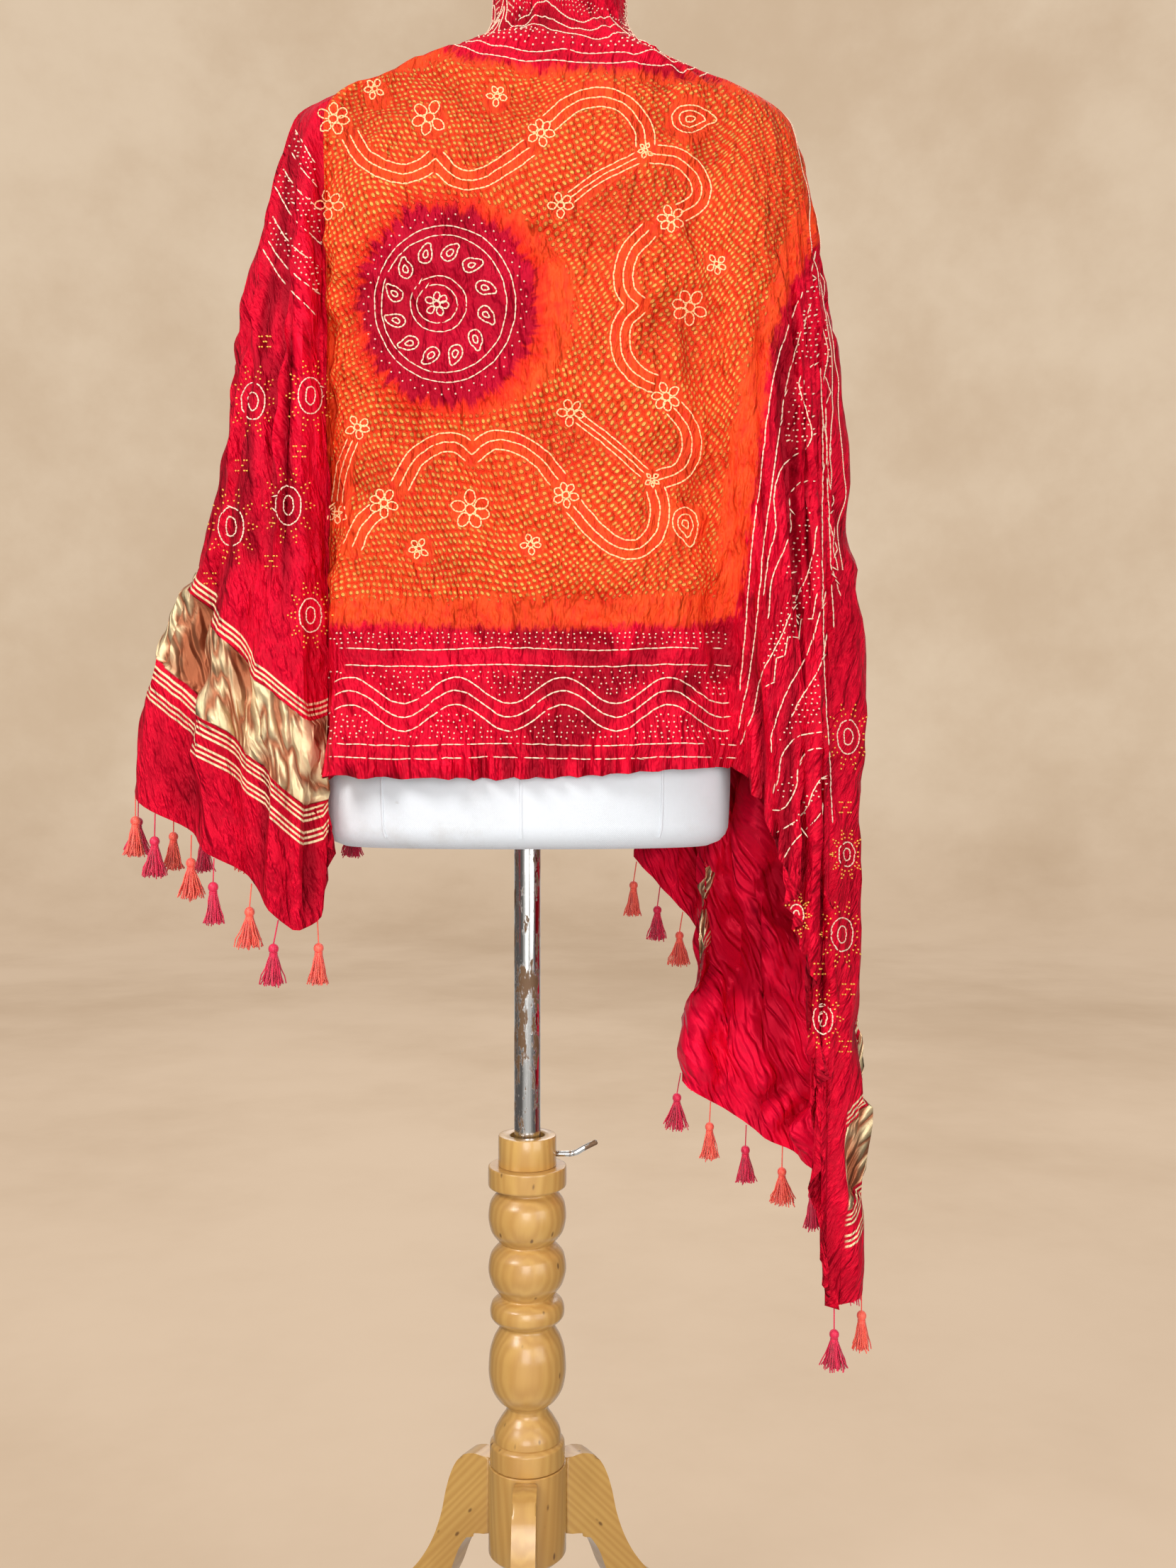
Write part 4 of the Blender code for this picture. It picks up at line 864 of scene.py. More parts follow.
height = maths(tree, "MULTIPLY_ADD", ramp(tree, crumple, 0.0, 0.35), 1.6, height)
smooth = maths(tree, "MAXIMUM", maths(tree, "MULTIPLY", attribute(tree, "lining"), 0.90), maths(tree, "MULTIPLY", band, 0.70))
height = maths(tree, "MULTIPLY", height, maths(tree, "SUBTRACT", 1.0, smooth))
folded = maths(tree, "MAXIMUM", maths(tree, "MULTIPLY", attribute(tree, "lining"), 0.34), band)
height = maths(tree, "MULTIPLY_ADD", maths(tree, "MULTIPLY", ramp(tree, pleated, 0.0, 0.30), folded), 2.6, height)
near_hem = ramp(tree, attribute(tree, "hem"), 0.0, 0.075, 1.0, 0.12)
pleats = cloudy(tree, stretched(tree, flat, (150.0, 8.0, 1.0)), 1.0, 2.0)
plain_side = ramp(tree, attribute(tree, "lining"), 0.0, 1.0, 1.0, 0.15)
near_hem = maths(tree, "MULTIPLY", near_hem, plain_side)
height = maths(tree, "MULTIPLY_ADD", maths(tree, "MULTIPLY", pleats, near_hem), 5.0, height)
height = maths(tree, "ADD", height, dots_up)
height = maths(tree, "MULTIPLY_ADD", thread, 0.05, height)
tree.links.new(raised(tree, height, 0.0030, 1.0), shader["Normal"])

cloth = link_piece("bandhani_cloth_silk", mesh, silk, 70)
cloth_tree = BVHTree.FromPolygons([tuple(p) for p in outer.reshape(-1, 3)], [tuple(f) for f in face.tolist()])
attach(cloth, "root")
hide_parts("bandhani_cloth")


# Tied dots and lines: each was a pinch of cloth wound with cotton, so when the threads are pulled out it
# stays behind as a small cream or yellow mark, raised a little from the silk.

MARK_LIFT = 0.0002
eye = EYE + STAND
marks = {"cream": [], "peach": [], "yellow": []}
by_hand = np.random.default_rng(31)
HAND_SHAKE = 0.65                 # how far a tied mark strays from its drawn place, in pattern units


def view_place(x, y):
    """The cloth's point and normal under a place of the pattern on its back or falls."""
    target = Vector((CORNER[0] + x * UNIT, BACK_PLANE, CORNER[1] - y * UNIT)) + STAND
    near, out, _, _ = cloth_tree.ray_cast(eye, (target - eye).normalized())
    if near is None or out.dot(eye - near) < 0:
        return None
    return near, out


def hung_place(line, length, from_hem=False):
    """The cloth's point and normal at a hang line and a length down from the rim or up from the hem."""
    c = float(np.interp(line, hang, np.arange(C)))
    c0 = min(int(c), C - 2)
    run = down[:, int(round(c))]
    length = run[-1] - length if from_hem else length
    r = float(np.interp(length, run, np.arange(R)))
    r0 = min(int(r), R - 2)
    a, b = c - c0, r - r0
    weights = [(0, 0, (1 - b) * (1 - a)), (0, 1, (1 - b) * a), (1, 0, b * (1 - a)), (1, 1, b * a)]
    point = sum(outer[r0 + i, c0 + j] * w for i, j, w in weights)
    normal = sum(normals[r0 + i, c0 + j] * w for i, j, w in weights)
    return Vector(point), Vector(normal).normalized()


def dash(colour, first, last, width, height=0.0005, cover=1.20, most=0.013):
    if first is None or last is None:
        return
    along = last[0] - first[0]
    if not 0.0002 < along.length < most:
        return
    marks[colour].append(((first[0] + last[0]) / 2, first[1] + last[1], along, along.length * cover, width, height))


def tied_line(stroke, colour="cream", step=9.0, width=0.0014, place=view_place):
    """A line of tied dashes along a stroke of the pattern."""
    path = curved(stroke, step)
    if step > 1.0:
        path = path + by_hand.uniform(-HAND_SHAKE, HAND_SHAKE, (len(path), 2))
    spots = [place(*spot) for spot in path]
    for first, last in zip(spots[:-1], spots[1:]):
        dash(colour, first, last, width)


def tied_dot(x, y, colour="cream", size=3.2, place=view_place, unit=(1.0, 0.0)):
    dash(colour, place(x - size / 2 * unit[0], y - size / 2 * unit[1]),
         place(x + size / 2 * unit[0], y + size / 2 * unit[1]), 0.0016, 0.0007, 0.85)


def ring(x, y, size, tall=1.0, count=None, turn=0.0):
    count = count or max(7, int(size * 1.1))
    return [(x + size * math.cos(turn + 2 * math.pi * k / count),
             y + size * tall * math.sin(turn + 2 * math.pi * k / count)) for k in range(count + 1)]


def flower(x, y, size, petals=6, colour="cream", place=view_place):
    """Round petals about a small ring."""
    tied_line(ring(x, y, size * 0.28), colour, 4.0, 0.0014, place)
    for k in range(petals):
        angle = 2 * math.pi * (k + 0.3 + 0.25 * math.sin(x + k)) / petals
        along = np.array((math.cos(angle), math.sin(angle)))
        side = np.array((-along[1], along[0]))
        petal = [np.array((x, y)) + size * ((0.66 + 0.40 * math.cos(a)) * along + 0.29 * math.sin(a) * side)
                 for a in np.linspace(0, 2 * math.pi, 11)]
        tied_line(petal, colour, 5.0, 0.0015, place)


def paisley(x, y, size, turn, colour="cream", place=view_place, rings=(1.0, 0.6, 0.25)):
    """Nested drops with a curled tip."""
    angle = math.radians(turn)
    c, s = math.cos(angle), math.sin(angle)
    drop = [(0.9, -0.55), (0.45, -0.62), (-0.1, -0.60), (-0.62, -0.30), (-0.75, 0.15), (-0.45, 0.55), (0.1, 0.60),
            (0.55, 0.28), (0.80, -0.10), (1.10, -0.38), (0.9, -0.55)]
    for share in rings:
        stroke = [(x + size * share * (px * c - py * s), y + size * share * (px * s + py * c)) for px, py in drop]
        tied_line(stroke, colour, 5.5, 0.0015, place)


def pinwheel(x, y, size, place=view_place):
    """Two cream rings with yellow tufts round them, as on the ends."""
    tied_line(ring(x, y, size * 0.22, 1.9), "cream", 4.0, 0.0015, place)
    tied_line(ring(x, y, size * 0.52, 1.55), "cream", 5.0, 0.0015, place)
    for k in range(10):
        angle = 2 * math.pi * k / 10
        for reach, spread in ((0.72, -0.13), (0.72, 0.13), (0.90, -0.07), (0.90, 0.07), (1.06, 0.0)):
            a = angle + spread
            tied_dot(x + size * reach * math.cos(a), y + size * 1.5 * reach * math.sin(a), "yellow", 3.0, place,
                     (math.cos(a), math.sin(a)))


def diamond(x, y, step=5.5, place=view_place):
    for i in range(-1, 2):
        for j in range(-1, 2):
            if abs(i) + abs(j) < 2:
                for k in (-0.3, 0.3):
                    tied_dot(x + (i - j + k) * step, y + (i + j) * step * 1.2, "yellow", 3.0, place)


def wavy(x0, x1, y, rise, period, phase):
    return [(x, y - rise * math.cos(2 * math.pi * (x - phase) / period)) for x in np.arange(x0, x1 + 1, 6.0)]


def scattered(polygon, pitch, keep=lambda x, y: True, colour="cream", place=view_place):
    """Loose rows of tied dots that fill an area."""
    chance = np.random.default_rng(int(polygon[0][0] * 7 + polygon[0][1]))
    xs = [x for x, _ in polygon]
    ys = [y for _, y in polygon]
    for j, y in enumerate(np.arange(min(ys), max(ys), pitch)):
        for x in np.arange(min(xs) + pitch / 2 * (j % 2), max(xs), pitch):
            x1, y1 = x + chance.uniform(-1.6, 1.6), y + chance.uniform(-1.6, 1.6)
            if inside_distance(polygon, np.array([x1]), np.array([y1]))[0] > 0 and keep(x1, y1):
                tied_dot(x1, y1, colour, 3.0, place)


for stroke in GARLAND:
    middle = curved(stroke, 6.0)
    others = [curved(other, 12.0) for other in GARLAND if other is not stroke]

    def lobe_place(x, y):
        """Lines of neighbouring lobes stop where they meet."""
        lone = all(stroke_distance(other, np.array([x]), np.array([y]))[0] > nearest for other in others)
        return view_place(x, y) if lone else None
    for offset in (-GARLAND_SPREAD + 2, 0, GARLAND_SPREAD - 2):
        nearest = abs(offset) - 1.5
        tied_line(beside(middle, offset).tolist(), "peach", step=7.0, width=0.0016, place=lobe_place)
for stroke in STEMS:
    middle = curved(stroke, 6.0)
    for offset in (-STEM_SPREAD + 1, 0, STEM_SPREAD - 1):
        tied_line(beside(middle, offset).tolist(), "peach", step=9.5, width=0.0015)
for x, y, size, petals in FLOWERS:
    flower(x, y, size, petals, "peach")
for x, y in CLUSTERS:
    flower(x, y, 13, 5, "peach")
for x, y, size, degrees in PAISLEYS:
    paisley(x, y, size, degrees, "peach")

RING_X, RING_Y = 568, 388
for width, tall in ((90, 1.11), (80, 1.10), (36, 1.0), (26, 0.96)):
    tied_line(ring(RING_X - (90 - width) * 0.16, RING_Y, width, tall, 40), step=10.0, width=0.0013)
flower(RING_X - 11, RING_Y, 15, 6)
for k in range(12):
    angle = 2 * math.pi * k / 12 + 0.2
    paisley(RING_X - 6 + 59 * math.cos(angle), RING_Y + 66 * math.sin(angle), 15, math.degrees(angle) + 60,
            rings=(1.0, 0.42))
for k in range(74):
    angle = 2 * math.pi * k / 74
    reach = (98, 104)[k % 2]
    tied_dot(RING_X + reach * math.cos(angle), RING_Y + reach * 1.11 * math.sin(angle), size=3.0)

BORDER = (420, 930)
WAVE_PERIOD, WAVE_PHASE = 136.0, 446.0
for y, start, stop in ((828, 424, 936), (849, 420, 934), (950, 410, 940), (967, 410, 942)):
    tied_line([(x, y + 1.5 * math.sin(x / 37)) for x in np.arange(start, stop, 16)], step=10.0, width=0.0013)
for y in (881, 898, 916):
    tied_line(wavy(*BORDER, y, 17.0, WAVE_PERIOD, WAVE_PHASE), step=9.0, width=0.0015)
for x in np.arange(BORDER[0], BORDER[1], 8.0):
    crest = 17.0 * math.cos(2 * math.pi * (x - WAVE_PHASE) / WAVE_PERIOD)
    for y in np.arange(857, 945, 7.0):
        if (y < 881 - crest - 8 or y > 916 - crest + 8) and by_hand.random() > 0.10:
            tied_dot(x + by_hand.uniform(-1.6, 3.2), y + by_hand.uniform(-1.6, 1.6), size=2.7)
    for y in (808, 814, 820):
        tied_dot(x + by_hand.uniform(-1.2, 2.6), y + by_hand.uniform(-1.5, 1.5), size=2.7)

RIGHT_LINES = [                   # border that crosses from the back over the right fall
    [(1028, 364), (1013, 397), (998, 440), (987, 479), (979, 532), (972, 596), (962, 673), (956, 743), (950, 814),
     (944, 880)],
    [(1034, 388), (1020, 432), (1006, 479), (996, 538), (985, 620), (974, 696), (967, 778), (958, 850), (942, 930)],
    [(1042, 464), (1024, 476), (1020, 496), (1029, 526), (1036, 552), (1028, 573), (1008, 584), (994, 604),
     (987, 637), (990, 673), (981, 710), (974, 760)],
    [(1040, 614), (1020, 617), (1007, 635), (1009, 673), (1000, 702), (986, 735), (980, 790)],
    [(1042, 672), (1034, 720), (1014, 770), (995, 815), (972, 860), (962, 905), (945, 950)],
    [(1054, 755), (1031, 831), (1003, 884), (986, 931), (984, 960)],
    [(1056, 800), (1046, 850), (1022, 890), (1010, 915)],
    [(1048, 934), (1019, 939), (998, 963), (993, 996), (984, 1010)],
    [(1056, 955), (1033, 957), (1019, 975), (1016, 1004), (1001, 1031), (986, 1034)],
    [(1060, 985), (1042, 1000), (1030, 1030), (1012, 1050), (992, 1062)],
    [(1060, 1014), (1043, 1043), (1013, 1075), (992, 1110)],
    [(1047, 470), (1050, 560), (1049, 700), (1052, 860), (1058, 960), (1062, 1050)],
    [(1053, 520), (1056, 620), (1060, 720), (1064, 800)],
    [(1040, 320), (1036, 350), (1048, 362)],
    [(1044, 400), (1052, 390)], [(1046, 420), (1056, 412)],
]
ZIGZAGS = [
    [(1042, 757), (1037, 790), (1023, 790), (1019, 814), (1005, 812), (1001, 837), (990, 840), (988, 870), (976, 876)],
    [(1050, 540), (1060, 575), (1054, 600), (1064, 640), (1056, 660), (1068, 700), (1060, 720), (1072, 760)],
    [(1052, 480), (1060, 500), (1054, 515)],
]
RIGHT_DOTS = [
    [(1035, 490), (1040, 560), (1012, 575), (1000, 560), (1008, 510), (1020, 480)],
    [(1030, 640), (1042, 650), (1030, 700), (1010, 740), (996, 740), (1014, 690)],
    [(1044, 700), (1048, 740), (1000, 830), (972, 850), (990, 790)],
    [(1046, 860), (1050, 925), (1015, 930), (992, 950), (1010, 900)],
    [(1010, 985), (1014, 1010), (994, 1022), (990, 1010)],
    [(1056, 985), (1052, 1010), (1020, 1050), (1000, 1070), (1024, 1015)],
    [(1034, 350), (1046, 360), (1044, 460), (1030, 460), (1012, 470), (1018, 420)],
    [(1056, 400), (1060, 470), (1052, 470), (1048, 400)],
]
for stroke in RIGHT_LINES:
    tied_line(stroke, step=9.0, width=0.0014)
for stroke in ZIGZAGS:
    for first, last in zip(stroke[:-1], stroke[1:]):
        tied_line([first, last], step=8.0, width=0.0013)
for area in RIGHT_DOTS:
    scattered(area, 7.6)
for x, y, size in ((1082, 940, 27), (1016, 1168, 18), (1074, 1192, 27), (1050, 1300, 24), (1080, 1090, 20)):
    pinwheel(x, y, size)
for x, y in ((1078, 1030), (1082, 1262), (1078, 1335), (1046, 1236)):
    diamond(x, y)

LEFT_LINES = [
    [(376, 165), (388, 185), (401, 208)], [(368, 188), (384, 215), (404, 238)],
    [(358, 210), (378, 240), (407, 268)], [(351, 238), (372, 275), (410, 312)],
    [(344, 270), (370, 310), (411, 344)], [(338, 300), (365, 340), (408, 376)],
    [(335, 318), (362, 360), (402, 402)],
]
for stroke in LEFT_LINES:
    tied_line(stroke, step=9.0, width=0.0015)
for a, b in zip(LEFT_LINES[::2], LEFT_LINES[1::2]):
    scattered([a[0], a[-1], b[-1], b[0]], 7.2)
for x, y, size in ((323, 512, 29), (396, 505, 29), (295, 672, 31), (368, 645, 31), (396, 785, 27)):
    pinwheel(x, y, size)
for x, y in ((308, 594), (382, 576), (346, 716), (338, 436), (268, 738)):
    diamond(x, y)

RIM_LINES = (0.014, 0.026)
NECK_LINES = (0.010, 0.022)
NECK_WAVES = (0.054, 0.068, 0.082)
first_orange = np.array([down[np.argmax(orange[:, c] > 0), c] if orange[:, c].max() > 0 else 0 for c in range(C)])
within_back = (hang > 8.4) & (hang < 18.6) & (first_orange > 0.05)
border_foot = np.interp(hang, hang[within_back], np.convolve(
    np.pad(first_orange[within_back], 8, mode="edge"), np.ones(17) / 17, mode="valid"))


def below_rim(line, length):
    return hung_place(line, length)


for line, sway, pitch in ((17.9, 0.07, 0.024), (18.2, 0.10, 0.030), (18.5, 0.10, 0.030)):
    strip = [(line + sway * math.sin(length / pitch * 2), length) for length in np.arange(0.20, 0.66, 0.006)]
    tied_line(strip, step=0.009, width=0.0014, place=below_rim)


def above_orange(line, length):
    return hung_place(line, float(np.interp(line, hang, border_foot)) - length)


for length in RIM_LINES:
    tied_line([(k, length) for k in np.arange(0.2, 24.8, 0.1)], step=0.13, width=0.0013, place=below_rim)
for length in NECK_LINES:
    tied_line([(k, length) for k in np.arange(0.2, 24.8, 0.1)], step=0.11, width=0.0013, place=above_orange)
for length in NECK_WAVES:
    wave = [(k, length + 0.013 * math.sin(2 * math.pi * k / 3.4)) for k in np.arange(0.2, 24.8, 0.08)]
    tied_line(wave, step=0.09, width=0.0014, place=above_orange)
for k in np.arange(0.2, 24.8, 0.16):
    crest = 0.013 * math.sin(2 * math.pi * k / 3.4)
    for length in np.arange(0.031, 0.108, 0.006):
        if length < NECK_WAVES[0] + crest - 0.007 or length > NECK_WAVES[2] + crest + 0.007:
            dash("cream", above_orange(k, length), above_orange(k + 0.03, length), 0.0018, 0.0007)


def front_place(x, y):
    """Places in front: x from the left front edge, or back from the right one, y up from the cloth's end."""
    run = x * UNIT if x >= 0 else around[-1] + x * UNIT
    return hung_place(float(np.interp(run, around, hang)), y * UNIT, from_hem=True)


for side in (1, -1):
    for x in (22, 38):
        tied_line([(side * x, y) for y in range(40, 940, 12)], step=9.0, width=0.0013, place=front_place)
    for x in (78, 98, 118):
        edge_wave = [(side * (x + 14 * math.sin(y / 21)), y) for y in range(380, 940, 7)]
        tied_line(edge_wave, step=9.0, width=0.0014, place=front_place)
    for y in range(384, 936, 9):
        crest = 14 * math.sin(y / 21)
        for x in list(range(48, 70, 9)) + list(range(128, 150, 9)):
            if x < 70 + crest or x > 126 + crest:
                tied_dot(side * x, y, place=front_place)
    for j, y in enumerate(range(345, 820, 96)):
        for x in range(70 + 55 * (j % 2) if y < 380 else 185 + 50 * (j % 2), 480, 112):
            pinwheel(side * x, y, 26, front_place)


def geometry_tree(name, inputs):
    tree = bpy.data.node_groups.new(name, "GeometryNodeTree")
    tree.interface.new_socket("Geometry", in_out="OUTPUT", socket_type="NodeSocketGeometry")
    for label, kind, value in inputs:
        socket = tree.interface.new_socket(label, in_out="INPUT", socket_type=kind)
        if value is not None:
            socket.default_value = value
    return tree, tree.nodes.new("NodeGroupInput").outputs, tree.nodes.new("NodeGroupOutput").inputs


def end_tree(tree, geometry, material, result):
    real = node(tree, "GeometryNodeRealizeInstances", {"Geometry": geometry}).outputs["Geometry"]
    done = node(tree, "GeometryNodeSetMaterial", {"Geometry": real, "Material": material}).outputs["Geometry"]
    tree.links.new(done, result["Geometry"])


def grown(name, base, tree, **values):
    """Run a geometry tree on a mesh and keep its result as a plain mesh piece."""
    holder = bpy.data.objects.new(name + "_base", base)
    bpy.context.collection.objects.link(holder)
    modifier = holder.modifiers.new(name, "NODES")
    modifier.node_group = tree
    sockets = {item.name: item.identifier for item in tree.interface.items_tree if item.in_out == "INPUT"}
    for label, value in values.items():
        modifier[sockets[label]] = value
    ready = holder.evaluated_get(bpy.context.evaluated_depsgraph_get())
    mesh = bpy.data.meshes.new_from_object(ready)
    bpy.data.objects.remove(holder, do_unlink=True)
    piece = bpy.data.objects.new(name, mesh)
    bpy.context.collection.objects.link(piece)
    return piece


def named(tree, name):
    made = node(tree, "GeometryNodeInputNamedAttribute", {"Name": name}, data_type="FLOAT_VECTOR")
    return made.outputs["Attribute"]


ties_tree, given, result = geometry_tree("tied_marks", [
    ("Geometry", "NodeSocketGeometry", None), ("Sides", "NodeSocketInt", 6), ("Crown", "NodeSocketFloat", 0.45),
    ("Finish", "NodeSocketMaterial", None)])
bead = node(ties_tree, "GeometryNodeMeshCone", {
    "Vertices": given["Sides"], "Radius Bottom": 0.5, "Radius Top": given["Crown"], "Depth": 1.0})
facing = node(ties_tree, "FunctionNodeAlignRotationToVector", {"Vector": named(ties_tree, "out")}, axis="Z")
laid = node(ties_tree, "FunctionNodeAlignRotationToVector",
            {"Rotation": facing.outputs[0], "Vector": named(ties_tree, "along")}, axis="X", pivot_axis="Z")
placed = node(ties_tree, "GeometryNodeInstanceOnPoints", {
    "Points": given["Geometry"], "Instance": bead.outputs["Mesh"], "Rotation": laid.outputs[0],
    "Scale": named(ties_tree, "size")})
end_tree(ties_tree, placed.outputs[0], given["Finish"], result)

MARK_COLOURS = {"cream": ((0.92, 0.72, 0.52, 1), (0.86, 0.42, 0.27, 1)),
                "peach": ((1.0, 0.66, 0.32, 1), (1.0, 0.36, 0.11, 1)),
                "yellow": ((1.0, 0.55, 0.08, 1), (0.95, 0.33, 0.05, 1))}
for colour_name, (pale, stained) in MARK_COLOURS.items():
    tied, tree, shader = finish(f"tied_{colour_name}", 0.62)
    place = node(tree, "ShaderNodeTexCoord").outputs["Object"]
    stain = cloudy(tree, place, 160.0, 3.0)
    tree.links.new(mixed(tree, ramp(tree, stain, 0.50, 0.80, 0.0, 0.8), pale, stained), shader["Base Color"])
    tree.links.new(raised(tree, cloudy(tree, place, 900.0), 0.0003, 0.5), shader["Normal"])
    chosen = marks[colour_name]
    base = bpy.data.meshes.new("mark_places")
    base.from_pydata([tuple(mark[0] + mark[1].normalized() * MARK_LIFT) for mark in chosen], [], [])
    for name, values in (("out", [mark[1].normalized() for mark in chosen]),
                         ("along", [mark[2].normalized() for mark in chosen]),
                         ("size", [Vector(mark[3:6]) for mark in chosen])):
        layer = base.attributes.new(name, "FLOAT_VECTOR", "POINT")
        layer.data.foreach_set("vector", np.array([tuple(v) for v in values], np.float32).ravel())
    piece = grown(f"tied_{colour_name}_marks", base, ties_tree, Sides=6, Crown=0.30, Finish=tied)
    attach(piece, "root")
    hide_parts("bandhani_cloth")


# Tassels: a twisted thread sewn to the end of the cloth, a wound head and a skirt of cut silk strands,
# crimson and coral by turns.

HEAD_DROP = 0.0245
SKIRT_ROOT = 0.0290
SKIRT_LENGTH = 0.0265
STRANDS = 64
tassel_tree, given, result = geometry_tree("silk_tassel", [
    ("Geometry", "NodeSocketGeometry", None), ("Strands", "NodeSocketInt", STRANDS),
    ("Length", "NodeSocketFloat", SKIRT_LENGTH), ("Flare", "NodeSocketFloat", 0.40),
    ("Girth", "NodeSocketFloat", 0.00062), ("Seed", "NodeSocketFloat", 0.0),
    ("Root", "NodeSocketVector", None), ("Head", "NodeSocketVector", None), ("Finish", "NodeSocketMaterial", None)])


def count_on(tree, operation, *values):
    return node(tree, "ShaderNodeMath", dict(enumerate(values)), operation=operation).outputs[0]


def vector_of(tree, x, y, z):
    return node(tree, "ShaderNodeCombineXYZ", {"X": x, "Y": y, "Z": z}).outputs[0]


def tube_on(tree, curve, radius, sides):
    profile = node(tree, "GeometryNodeCurvePrimitiveCircle", {"Resolution": sides, "Radius": radius}).outputs[0]
    made = node(tree, "GeometryNodeCurveToMesh", {"Curve": curve, "Profile Curve": profile, "Fill Caps": True})
    return made.outputs[0]


number = node(tassel_tree, "GeometryNodeInputIndex").outputs[0]
share_out = count_on(tassel_tree, "SQRT", count_on(tassel_tree, "DIVIDE", number, given["Strands"]))
spin = count_on(tassel_tree, "MULTIPLY_ADD", number, 2.39996, given["Seed"])
radius = count_on(tassel_tree, "MULTIPLY", share_out, 0.0029)
spot = vector_of(tassel_tree, count_on(tassel_tree, "MULTIPLY", radius, count_on(tassel_tree, "COSINE", spin)),
                 count_on(tassel_tree, "MULTIPLY", radius, count_on(tassel_tree, "SINE", spin)), 0.0)
spots = node(tassel_tree, "GeometryNodePoints", {"Count": given["Strands"], "Position": spot}).outputs[0]
strand = node(tassel_tree, "GeometryNodeCurvePrimitiveLine", {"Start": (0, 0, 0), "End": (0, 0, -1)}).outputs[0]
strand = node(tassel_tree, "GeometryNodeResampleCurve", {"Curve": strand, "Count": 5}).outputs[0]
wander = node(tassel_tree, "FunctionNodeRandomValue", {2: 0.75, 3: 1.15, "ID": number, "Seed": 3}).outputs[1]
lean_out = count_on(tassel_tree, "MULTIPLY", count_on(tassel_tree, "MULTIPLY", share_out, given["Flare"]), wander)
tilt = vector_of(tassel_tree, 0.0, count_on(tassel_tree, "MULTIPLY", lean_out, -1.0), spin)
longer = node(tassel_tree, "FunctionNodeRandomValue", {2: 0.90, 3: 1.05, "ID": number, "Seed": 5}).outputs[1]
reach = count_on(tassel_tree, "MULTIPLY", given["Length"], longer)
fan = node(tassel_tree, "GeometryNodeInstanceOnPoints", {
    "Points": spots, "Instance": strand, "Rotation": tilt, "Scale": vector_of(tassel_tree, reach, reach, reach)})
fan = node(tassel_tree, "GeometryNodeRealizeInstances", {"Geometry": fan.outputs[0]}).outputs[0]
here = node(tassel_tree, "GeometryNodeInputPosition").outputs[0]
fallen = node(tassel_tree, "ShaderNodeSeparateXYZ", {"Vector": here}).outputs["Z"]
swell = count_on(tassel_tree, "MULTIPLY", fallen, -1.0)
ruffled = node(tassel_tree, "ShaderNodeTexNoise", {"Vector": here, "Scale": 260.0, "Detail": 1.0}).outputs["Color"]
ruffled = node(tassel_tree, "ShaderNodeVectorMath", {0: ruffled, 1: (0.5, 0.5, 0.5)}, operation="SUBTRACT").outputs[0]
ruffled = node(tassel_tree, "ShaderNodeVectorMath", {0: ruffled, 3: count_on(tassel_tree, "MULTIPLY", swell, 0.28)},
               operation="SCALE").outputs[0]
fan = node(tassel_tree, "GeometryNodeSetPosition", {"Geometry": fan, "Offset": ruffled}).outputs[0]
skirt = tube_on(tassel_tree, fan, given["Girth"], 3)
skirt = node(tassel_tree, "GeometryNodeTransform", {"Geometry": skirt, "Translation": (0, 0, -SKIRT_ROOT)}).outputs[0]
head = node(tassel_tree, "GeometryNodeMeshUVSphere", {"Segments": 16, "Rings": 10, "Radius": 0.0044}).outputs[0]
head = node(tassel_tree, "GeometryNodeTransform", {
    "Geometry": head, "Translation": (0, 0, -HEAD_DROP), "Scale": (1.0, 1.0, 1.05)}).outputs[0]
neck = []
for k in range(4):
    wound = node(tassel_tree, "GeometryNodeCurvePrimitiveCircle", {"Resolution": 14, "Radius": 0.0031}).outputs[0]
    wound = node(tassel_tree, "GeometryNodeTransform", {
        "Geometry": wound, "Translation": (0, 0, -0.0283 - 0.0008 * k), "Rotation": (0.06, 0.05 * k, 0)}).outputs[0]
    neck.append(tube_on(tassel_tree, wound, 0.0006, 5))
hung = tassel_tree.nodes.new("GeometryNodeJoinGeometry")
for part in [skirt, head] + neck:
    tassel_tree.links.new(part, hung.inputs[0])
hung = node(tassel_tree, "GeometryNodeTransform", {"Geometry": hung.outputs[0], "Translation": given["Head"]}).outputs[0]
drop_to = node(tassel_tree, "ShaderNodeVectorMath", {0: given["Head"], 1: (0, 0, -0.0205)}, operation="ADD").outputs[0]
bow = node(tassel_tree, "GeometryNodeCurvePrimitiveLine", {"Start": given["Root"], "End": drop_to}).outputs[0]
bow = tube_on(tassel_tree, bow, 0.0006, 6)
whole = tassel_tree.nodes.new("GeometryNodeJoinGeometry")
for part in (hung, bow):
    tassel_tree.links.new(part, whole.inputs[0])
end_tree(tassel_tree, whole.outputs[0], given["Finish"], result)

THREADS = [("crimson", (0.80, 0.010, 0.070, 1), (0.52, 0.003, 0.040, 1)),
           ("coral", (1.0, 0.150, 0.090, 1), (0.90, 0.065, 0.050, 1))]
thread_finish = {}
for label, lit, shaded in THREADS:
    yarn, tree, shader = finish(f"{label}_thread", 0.48, Sheen_Weight=0.2)
    place = node(tree, "ShaderNodeTexCoord").outputs["Object"]
    streak = cloudy(tree, stretched(tree, place, (900.0, 900.0, 60.0)), 1.0, 2.0)
    tree.links.new(mixed(tree, ramp(tree, streak, 0.42, 0.70), lit, shaded), shader["Base Color"])
    tree.links.new(raised(tree, streak, 0.0004, 0.6), shader["Normal"])
    thread_finish[label] = yarn

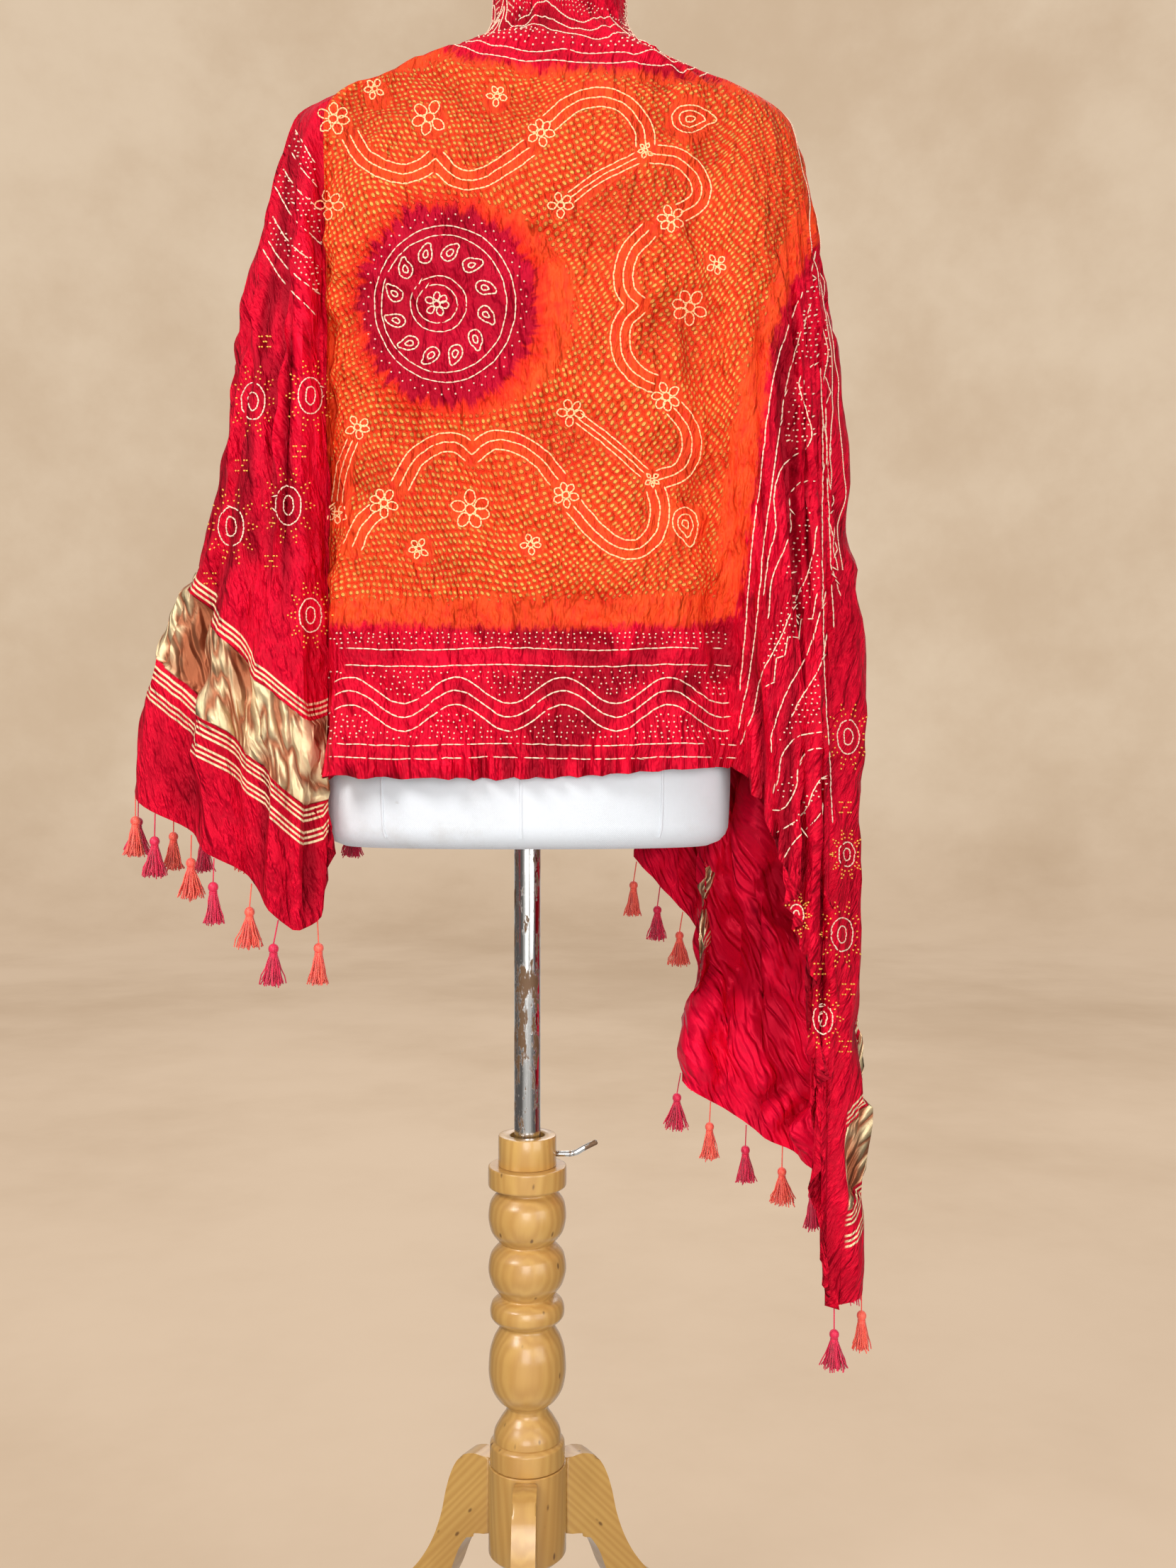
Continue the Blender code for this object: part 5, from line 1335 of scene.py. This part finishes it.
for name in sorted(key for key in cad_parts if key.startswith("tassel_")):
    spots = np.array([vertex.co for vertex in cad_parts[name].data.vertices])
    top = spots[:, 2].max()
    root = spots[spots[:, 2] > top - 0.0004].mean(axis=0)
    head = spots[spots[:, 2] < top - 0.0195].mean(axis=0)
    number = int(name[-2:])
    label = THREADS[(number - 1) % 2][0]
    base = bpy.data.meshes.new(name + "_base")
    tassel = grown(f"silk_{name}", base, tassel_tree, Strands=STRANDS, Length=SKIRT_LENGTH, Girth=0.00062,
                   Flare=0.32 + 0.09 * math.sin(number * 2.3), Seed=float(number), Finish=thread_finish[label],
                   Root=(root[0], root[1], top), Head=(head[0], head[1], top))
    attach(tassel, "root")
    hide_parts(name)


# Studio: a pale floor that curves up all round, a broad soft light from the left and a weaker one from the right. The
# paper also glows by itself, more up the wall than on the floor: painted light.

FLOOR_RADIUS = 6.0
WALL_RISE = 7.0
sweep = [(0.0005, 0.0), (FLOOR_RADIUS * 0.5, 0.0), (FLOOR_RADIUS, 0.0)]
sweep += [(FLOOR_RADIUS + 2.0 * math.sin(a), 2.0 - 2.0 * math.cos(a)) for a in np.linspace(0.1, math.pi / 2, 10)]
sweep += [(FLOOR_RADIUS + 2.0, WALL_RISE)]
bm = bmesh.new()
skin(bm, [ring_of(96, STAND, radius, radius, z) for radius, z in sweep], caps=(True, False))
paper, tree, shader = finish("mottled_paper", 0.95, Emission_Strength=0.63)
place = node(tree, "ShaderNodeTexCoord").outputs["Object"]
cloud = maths(tree, "MULTIPLY_ADD", cloudy(tree, place, 1.6, 6.0, 0.65), 0.45, cloudy(tree, place, 0.30, 3.0))
cloud = ramp(tree, cloud, 0.56, 0.92)
tree.links.new(mixed(tree, cloud, (0.19, 0.155, 0.115, 1), (0.17, 0.135, 0.095, 1)), shader["Base Color"])
# Painted light: the paper's glow, brighter up the wall than on the floor, mottled like the paper.
rise = ramp(tree, node(tree, "ShaderNodeSeparateXYZ", {"Vector": place}).outputs["Z"], 0.0, 1.2)
floor_glow = mixed(tree, cloud, (0.84, 0.610, 0.415, 1), (0.68, 0.470, 0.300, 1))
wall_glow = mixed(tree, cloud, (1.0, 0.780, 0.560, 1), (0.84, 0.615, 0.415, 1))
tree.links.new(mixed(tree, rise, floor_glow, wall_glow), shader["Emission Color"])
floor = mesh_piece("studio_sweep", bm, paper)
floor.visible_diffuse = False
floor.visible_glossy = False
floor.visible_shadow = False

scene = bpy.context.scene
world = bpy.data.worlds.new("studio_air")
world.use_nodes = True
air = world.node_tree
way = node(air, "ShaderNodeTexCoord").outputs["Generated"]
aside = maths(air, "ABSOLUTE", node(air, "ShaderNodeSeparateXYZ", {"Vector": way}).outputs["X"])
shade = mixed(air, ramp(air, aside, 0.46, 0.68), (1.0, 0.98, 0.95, 1), (0.22, 0.20, 0.19, 1))
air.links.new(shade, air.nodes["Background"].inputs["Color"])
air.nodes["Background"].inputs["Strength"].default_value = 0.60
scene.world = world
scene.view_settings.view_transform = "Standard"
LIGHTS = [                        # place, width, power
    ("key", (-1.9, -1.9, 2.7), 1.1, 62.0),
    ("fill", (2.2, -2.4, 1.2), 1.8, 36.0),
    ("front", (0.0, -2.9, 1.0), 1.2, 36.0),
    ("rear", (0.5, 2.8, 2.6), 2.2, 40.0),
]
for label, spot, width, power in LIGHTS:
    lamp = bpy.data.lights.new(f"{label}_light", "AREA")
    lamp.size = width
    lamp.energy = power
    holder = bpy.data.objects.new(f"{label}_light", lamp)
    holder.location = spot
    holder.rotation_euler = (Vector((0, 0, 0.95)) - Vector(spot)).to_track_quat("-Z", "Y").to_euler()
    bpy.context.collection.objects.link(holder)

camera = bpy.data.cameras.new("camera")
camera.sensor_fit = "VERTICAL"
camera.sensor_height = 36.0
camera.sensor_width = 36.0
camera.lens = 36.0 * 1923 / 2212
viewer = bpy.data.objects.new("camera", camera)
viewer.location = eye
viewer.rotation_euler = (math.radians(90), 0.0, 0.0)
bpy.context.collection.objects.link(viewer)
scene.camera = viewer
